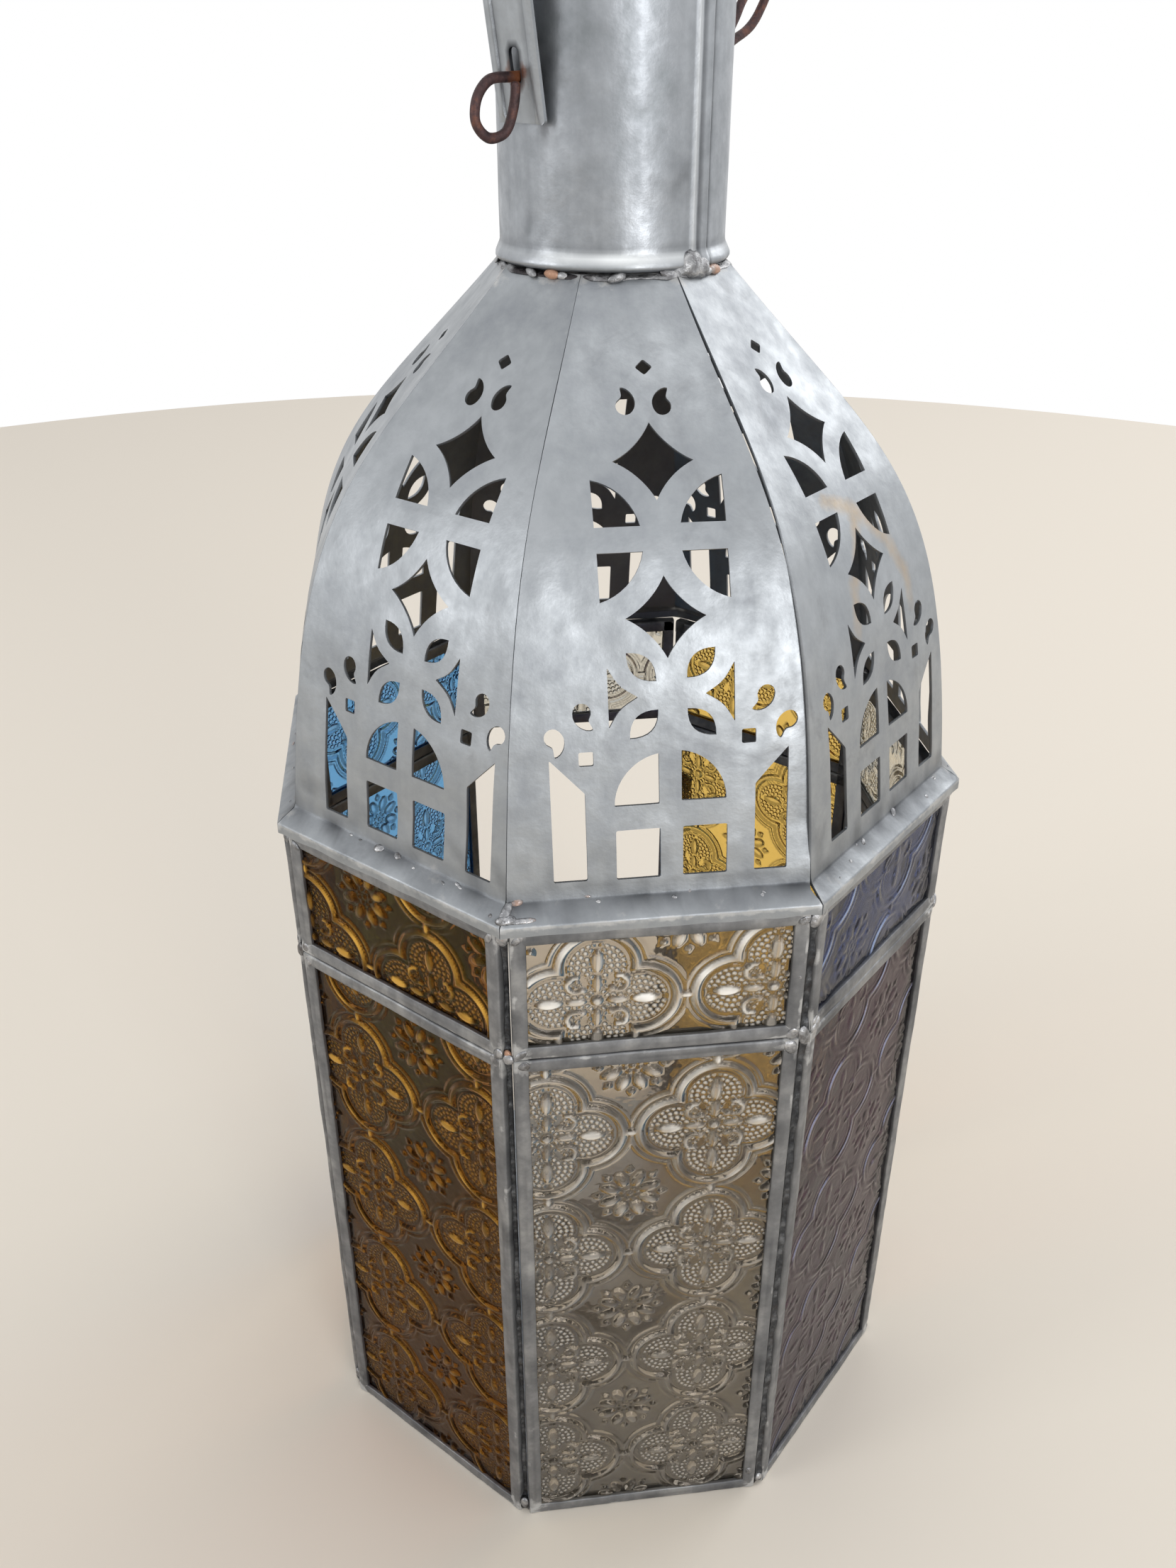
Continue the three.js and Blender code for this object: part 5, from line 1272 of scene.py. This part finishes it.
# ---------------------------------------------------------------- drops and lumps of solder

def on_panel(face, x, s):
    """A point of a dome panel's outer skin and its outward direction, from its place on the flat sheet."""
    index = FACE_NAMES.index(face)
    slope = [np.interp(s, LINE_LENGTH, c) for c in LINE_SLOPE]
    place = [x, -np.interp(s, LINE_LENGTH, LINE_APOTHEM), np.interp(s, LINE_LENGTH, LINE_HEIGHT)]
    return to_face(np.array(place), index), to_face(np.array([0, -slope[1], -slope[0]]), index)


def on_frame(face, x, z):
    """A point on a frame's front, and its outward direction."""
    index = FACE_NAMES.index(face)
    return to_face(np.array([x, -BODY_APOTHEM, z]), index), to_face(np.array([0, -1.0, 0]), index)


def in_groove(index, z, sink=1.0):
    """A point in the corner groove after face `index`, and its outward direction."""
    angle = -math.pi / 2 - (index + 0.5) * TURN
    out = np.array([math.cos(angle), math.sin(angle), 0])
    return out * (BODY_APOTHEM * CORNER_STRETCH - sink) + [0, 0, z], out


def lump(spot, long, wide, high, lean, seed):
    """A pebble of solder: rings from pole to pole of a flattened, uneven ball, half sunk where it sits."""
    centre, out = spot
    level = np.cross(np.array([0, 0, 1.0]), out)
    level /= np.linalg.norm(level)
    upright = np.cross(out, level)
    c, d = cos_sin(lean)
    first, second = level * c + upright * d, upright * c - level * d
    polar, round_ = np.radians(np.linspace(3, 177, 8))[:, None], circle(14)[None]
    a, b, h = np.sin(polar) * np.cos(round_), np.sin(polar) * np.sin(round_), np.cos(polar) + 0 * round_
    uneven = (1 + 0.22 * waves(seed, 2.4, a, b, h))[..., None]
    return centre + uneven * (a[..., None] * first * long + b[..., None] * second * wide + h[..., None] * out * high)


def lumps_piece(name, told, material):
    """Lumps as one piece; each entry of `told` is a spot, its length, width, height, lean and rust."""
    shells = np.stack([lump(spot, *size, 400 + k) for k, (spot, *size, rust) in enumerate(told)])
    rings, columns = shells.shape[1:3]
    per = rings * columns
    one = grid_faces(rings, columns, False, True)[:, ::-1]
    start = np.arange(len(told))[:, None, None] * per
    faces = [(face[None] + start).reshape(-1, face.shape[1]) for face in (one, *end_faces(rings, columns, False))]
    rust = np.repeat([rust for *_, rust in told], per)
    add_piece(name, shells, faces, material, "lantern", marks={"rust": rust}, sharp=70)


def neck_lumps():
    """Rough low lumps of burnt solder under the neck's foot: a big one below the seam, two rusty ones at the left."""
    rng = np.random.default_rng(5)
    told = []

    def outward(angle, rise):
        return np.array([*cos_sin(angle), rise])

    def under_neck(out, height):
        return (out * [1, 1, 0]) * (NECK_RADIUS + 0.9) + [0, 0, height]

    placed = [
        (-128, 2.2, 0.8, 0.95), (-122, 1.5, 0.5, 0.1), (-140, 2.2, 0.5, 0.1), (-96, 2.4, 0.7, 0), (-68, 3.4, 0.9, 0),
        (-46, 3.2, 0.8, 0),
    ]
    strewn = [
        (angle, *rng.uniform((1.2, 0.3), (3.0, 0.9)), rng.choice([0, 0, 0.6]))
        for angle in np.linspace(-36, 200, 13) + rng.normal(0, 4, 13)
    ]
    for angle, long, high, rust in placed + strewn:
        out = outward(angle, 0.5)
        spot = (under_neck(out, DOME_TOP - 0.6), out)
        told.append((spot, long, 0.7 * high + 0.5, high, rng.uniform(-14, 14), rust))
    for angle, up, *size in ((-58, 1.3, 3.6, 3.0, 1.5), (-51, 0.4, 3.0, 2.2, 1.3), (-63, 0.2, 2.6, 1.6, 1.0)):
        out = outward(angle, 0.35)
        told.append(((under_neck(out, DOME_TOP + up), out), *size, 10, 0))
    lumps_piece("neck_solder_lumps", told, BURNT_SOLDER)


def solder_lumps():
    """Every drop that the iron left at frame corners and groove joints and along the ledge."""
    rng = np.random.default_rng(11)
    half = FRAME_WIDTH / 2
    told = [
        (in_groove(0, LOWER_HEIGHT + 1, 1.6), 1.1, 2.0, 0.8, 10, 0.9),
        (in_groove(0, FRAME_TOP - 1, 0.6), 1.7, 2.6, 0.9, 0, 0.2),
        (in_groove(7, LOWER_HEIGHT, 0.9), 2.0, 3.4, 1.1, 15, 0),
        (in_groove(7, FRAME_TOP - 2, 0.5), 1.9, 3.0, 1.0, -10, 0),
        (on_frame("front", half - 2.0, LOWER_HEIGHT - 2.6), 1.7, 2.3, 0.75, 20, 0),
        (on_frame("front", half - 2.2, 9.0), 1.2, 1.8, 0.5, 0, 0),
        (on_frame("front", half - 1.4, 214.0), 0.55, 0.6, 0.4, 0, 0),
        (on_frame("front_right", -half + 2.6, BAND_FOOT + 1.0), 2.6, 1.5, 0.8, 35, 0),
        (on_panel("front", -PANEL_HALF_WIDTH - 0.2, -2.2), 3.0, 1.3, 0.7, 66, 0),
        (on_panel("front", -PANEL_HALF_WIDTH - 0.4, -4.0), 2.6, 1.3, 0.8, 8, 0.1),
        (on_panel("front", -PANEL_HALF_WIDTH + 3.4, -4.5), 4.2, 0.9, 0.45, 2, 0.3),
        (on_panel("front", -PANEL_HALF_WIDTH + 2.6, 0.2), 1.5, 0.9, 0.4, 15, 0.4),
        (on_panel("front_left", -5.0, -0.6), 1.5, 1.1, 0.55, 20, 0),
        (on_panel("front_left", 1.5, -0.4), 1.2, 0.9, 0.5, -20, 0),
        (on_panel("front_right", 6.0, -0.6), 1.3, 0.8, 0.5, 40, 0),
        (on_panel("front_right", -12.0, -1.2), 1.0, 0.7, 0.45, 40, 0),
    ]
    for index, face in enumerate(FACE_NAMES):
        if index not in (DOOR_FACE - 1, DOOR_FACE):
            for z in (BAND_FOOT, FRAME_TOP - 1.5, 5.0):
                spot = in_groove(index, z + rng.normal(0, 0.8), rng.uniform(0.7, 1.5))
                told.append((spot, *rng.uniform((1.2, 1.6, 0.6), (1.8, 3.0, 1.0)), rng.uniform(-25, 25), 0))
        for side in (-1, 1):
            for z in (LOWER_HEIGHT - 2, BAND_FOOT + 2, FRAME_TOP - 2):
                if face != "back" or z > BAND_FOOT:
                    spot = on_frame(face, side * (half - rng.uniform(1, 3)), z + rng.normal(0, 0.5))
                    told.append((spot, *rng.uniform((0.8, 1.2, 0.2), (1.7, 2.2, 0.42)), rng.uniform(-60, 60), 0))
        for _ in range(7):
            spot = on_panel(face, rng.uniform(-37, 37), rng.uniform(-4.6, 0.6))
            size = rng.uniform((0.35, 0.25, 0.12), (1.0, 0.6, 0.26))
            told.append((spot, *size, rng.uniform(-20, 20), rng.choice([0, 0, 0.35])))
    lumps_piece("solder_lumps", told, SOLDER)


neck_lumps()
solder_lumps()


# ---------------------------------------------------------------- CAD nodes that keep their own shape

def metal_of(name):
    """The material that a CAD node left as it is takes."""
    if "wire" in name:
        return WIRE
    if "solder" in name:
        return SOLDER
    return NECK_METAL if name == "button_rivet" else SHEET_METAL


for name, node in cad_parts.items():
    if not node.hide_render:
        node.data.materials.clear()
        node.data.materials.append(metal_of(name))


# ---------------------------------------------------------------- floor, light and camera

def floor():
    """A round floor: one flat disc, its edge inside every lamp."""
    turn = circle(FLOOR_CORNERS)
    corners = FLOOR_RADIUS * np.stack([np.cos(turn), np.sin(turn), 0 * turn], 1)
    mesh = bpy.data.meshes.new("floor")
    mesh.from_pydata(corners.tolist(), [], [list(range(FLOOR_CORNERS))])
    made = bpy.data.objects.new("floor", mesh)
    bpy.context.scene.collection.objects.link(made)
    material, tree, output, _ = new_material("plain_pale_floor")
    add_surface(tree, output, Base_Color=hex_colour("#e2dace"), Roughness=0.8)
    mesh.materials.append(material)


def soft_light(name, location, target, size, power):
    """A soft box, as wide and as tall as `size` says, aimed at a point."""
    data = bpy.data.lights.new(name, "AREA")
    data.shape, data.size, data.size_y, data.energy = "RECTANGLE", *size, power
    lamp = bpy.data.objects.new(name, data)
    lamp.location = location
    lamp.rotation_mode = "QUATERNION"
    lamp.rotation_quaternion = (Vector(target) - Vector(location)).to_track_quat("-Z", "Y")
    bpy.context.scene.collection.objects.link(lamp)


def surroundings():
    """White to the camera and in reflections and through glass; a dimmer soft dome as light."""
    world = bpy.data.worlds.new("studio")
    world.use_nodes = True
    tree = world.node_tree
    tree.nodes.clear()
    rays = add_node(tree, "LightPath").outputs
    seen = sum_of(tree, "MAXIMUM", rays["Is Camera Ray"], rays["Is Glossy Ray"])
    seen = sum_of(tree, "MAXIMUM", seen, rays["Is Transmission Ray"])
    strength = span(tree, seen, WORLD_LIGHT, WORLD_SEEN)
    sky = add_node(tree, "Background", {"Color": hex_colour("#ffffff"), "Strength": strength})
    add_node(tree, "OutputWorld", {"Surface": sky.outputs[0]})
    bpy.context.scene.world = world


floor()
surroundings()
for name, told in LAMPS.items():
    soft_light(name, *told)

camera_data = bpy.data.cameras.new("camera")
camera_data.sensor_width = SENSOR
camera_data.lens = SENSOR * PHOTO_FOCAL / PHOTO_HEIGHT
camera_data.clip_start, camera_data.clip_end = 0.01, 50
camera = bpy.data.objects.new("camera", camera_data)
camera.location = CAMERA_PLACE
camera.rotation_euler = (math.radians(90 - CAMERA_DOWN), 0, math.radians(CAMERA_TURN))
bpy.context.scene.collection.objects.link(camera)
bpy.context.scene.camera = camera
bpy.context.scene.view_settings.view_transform = "Standard"
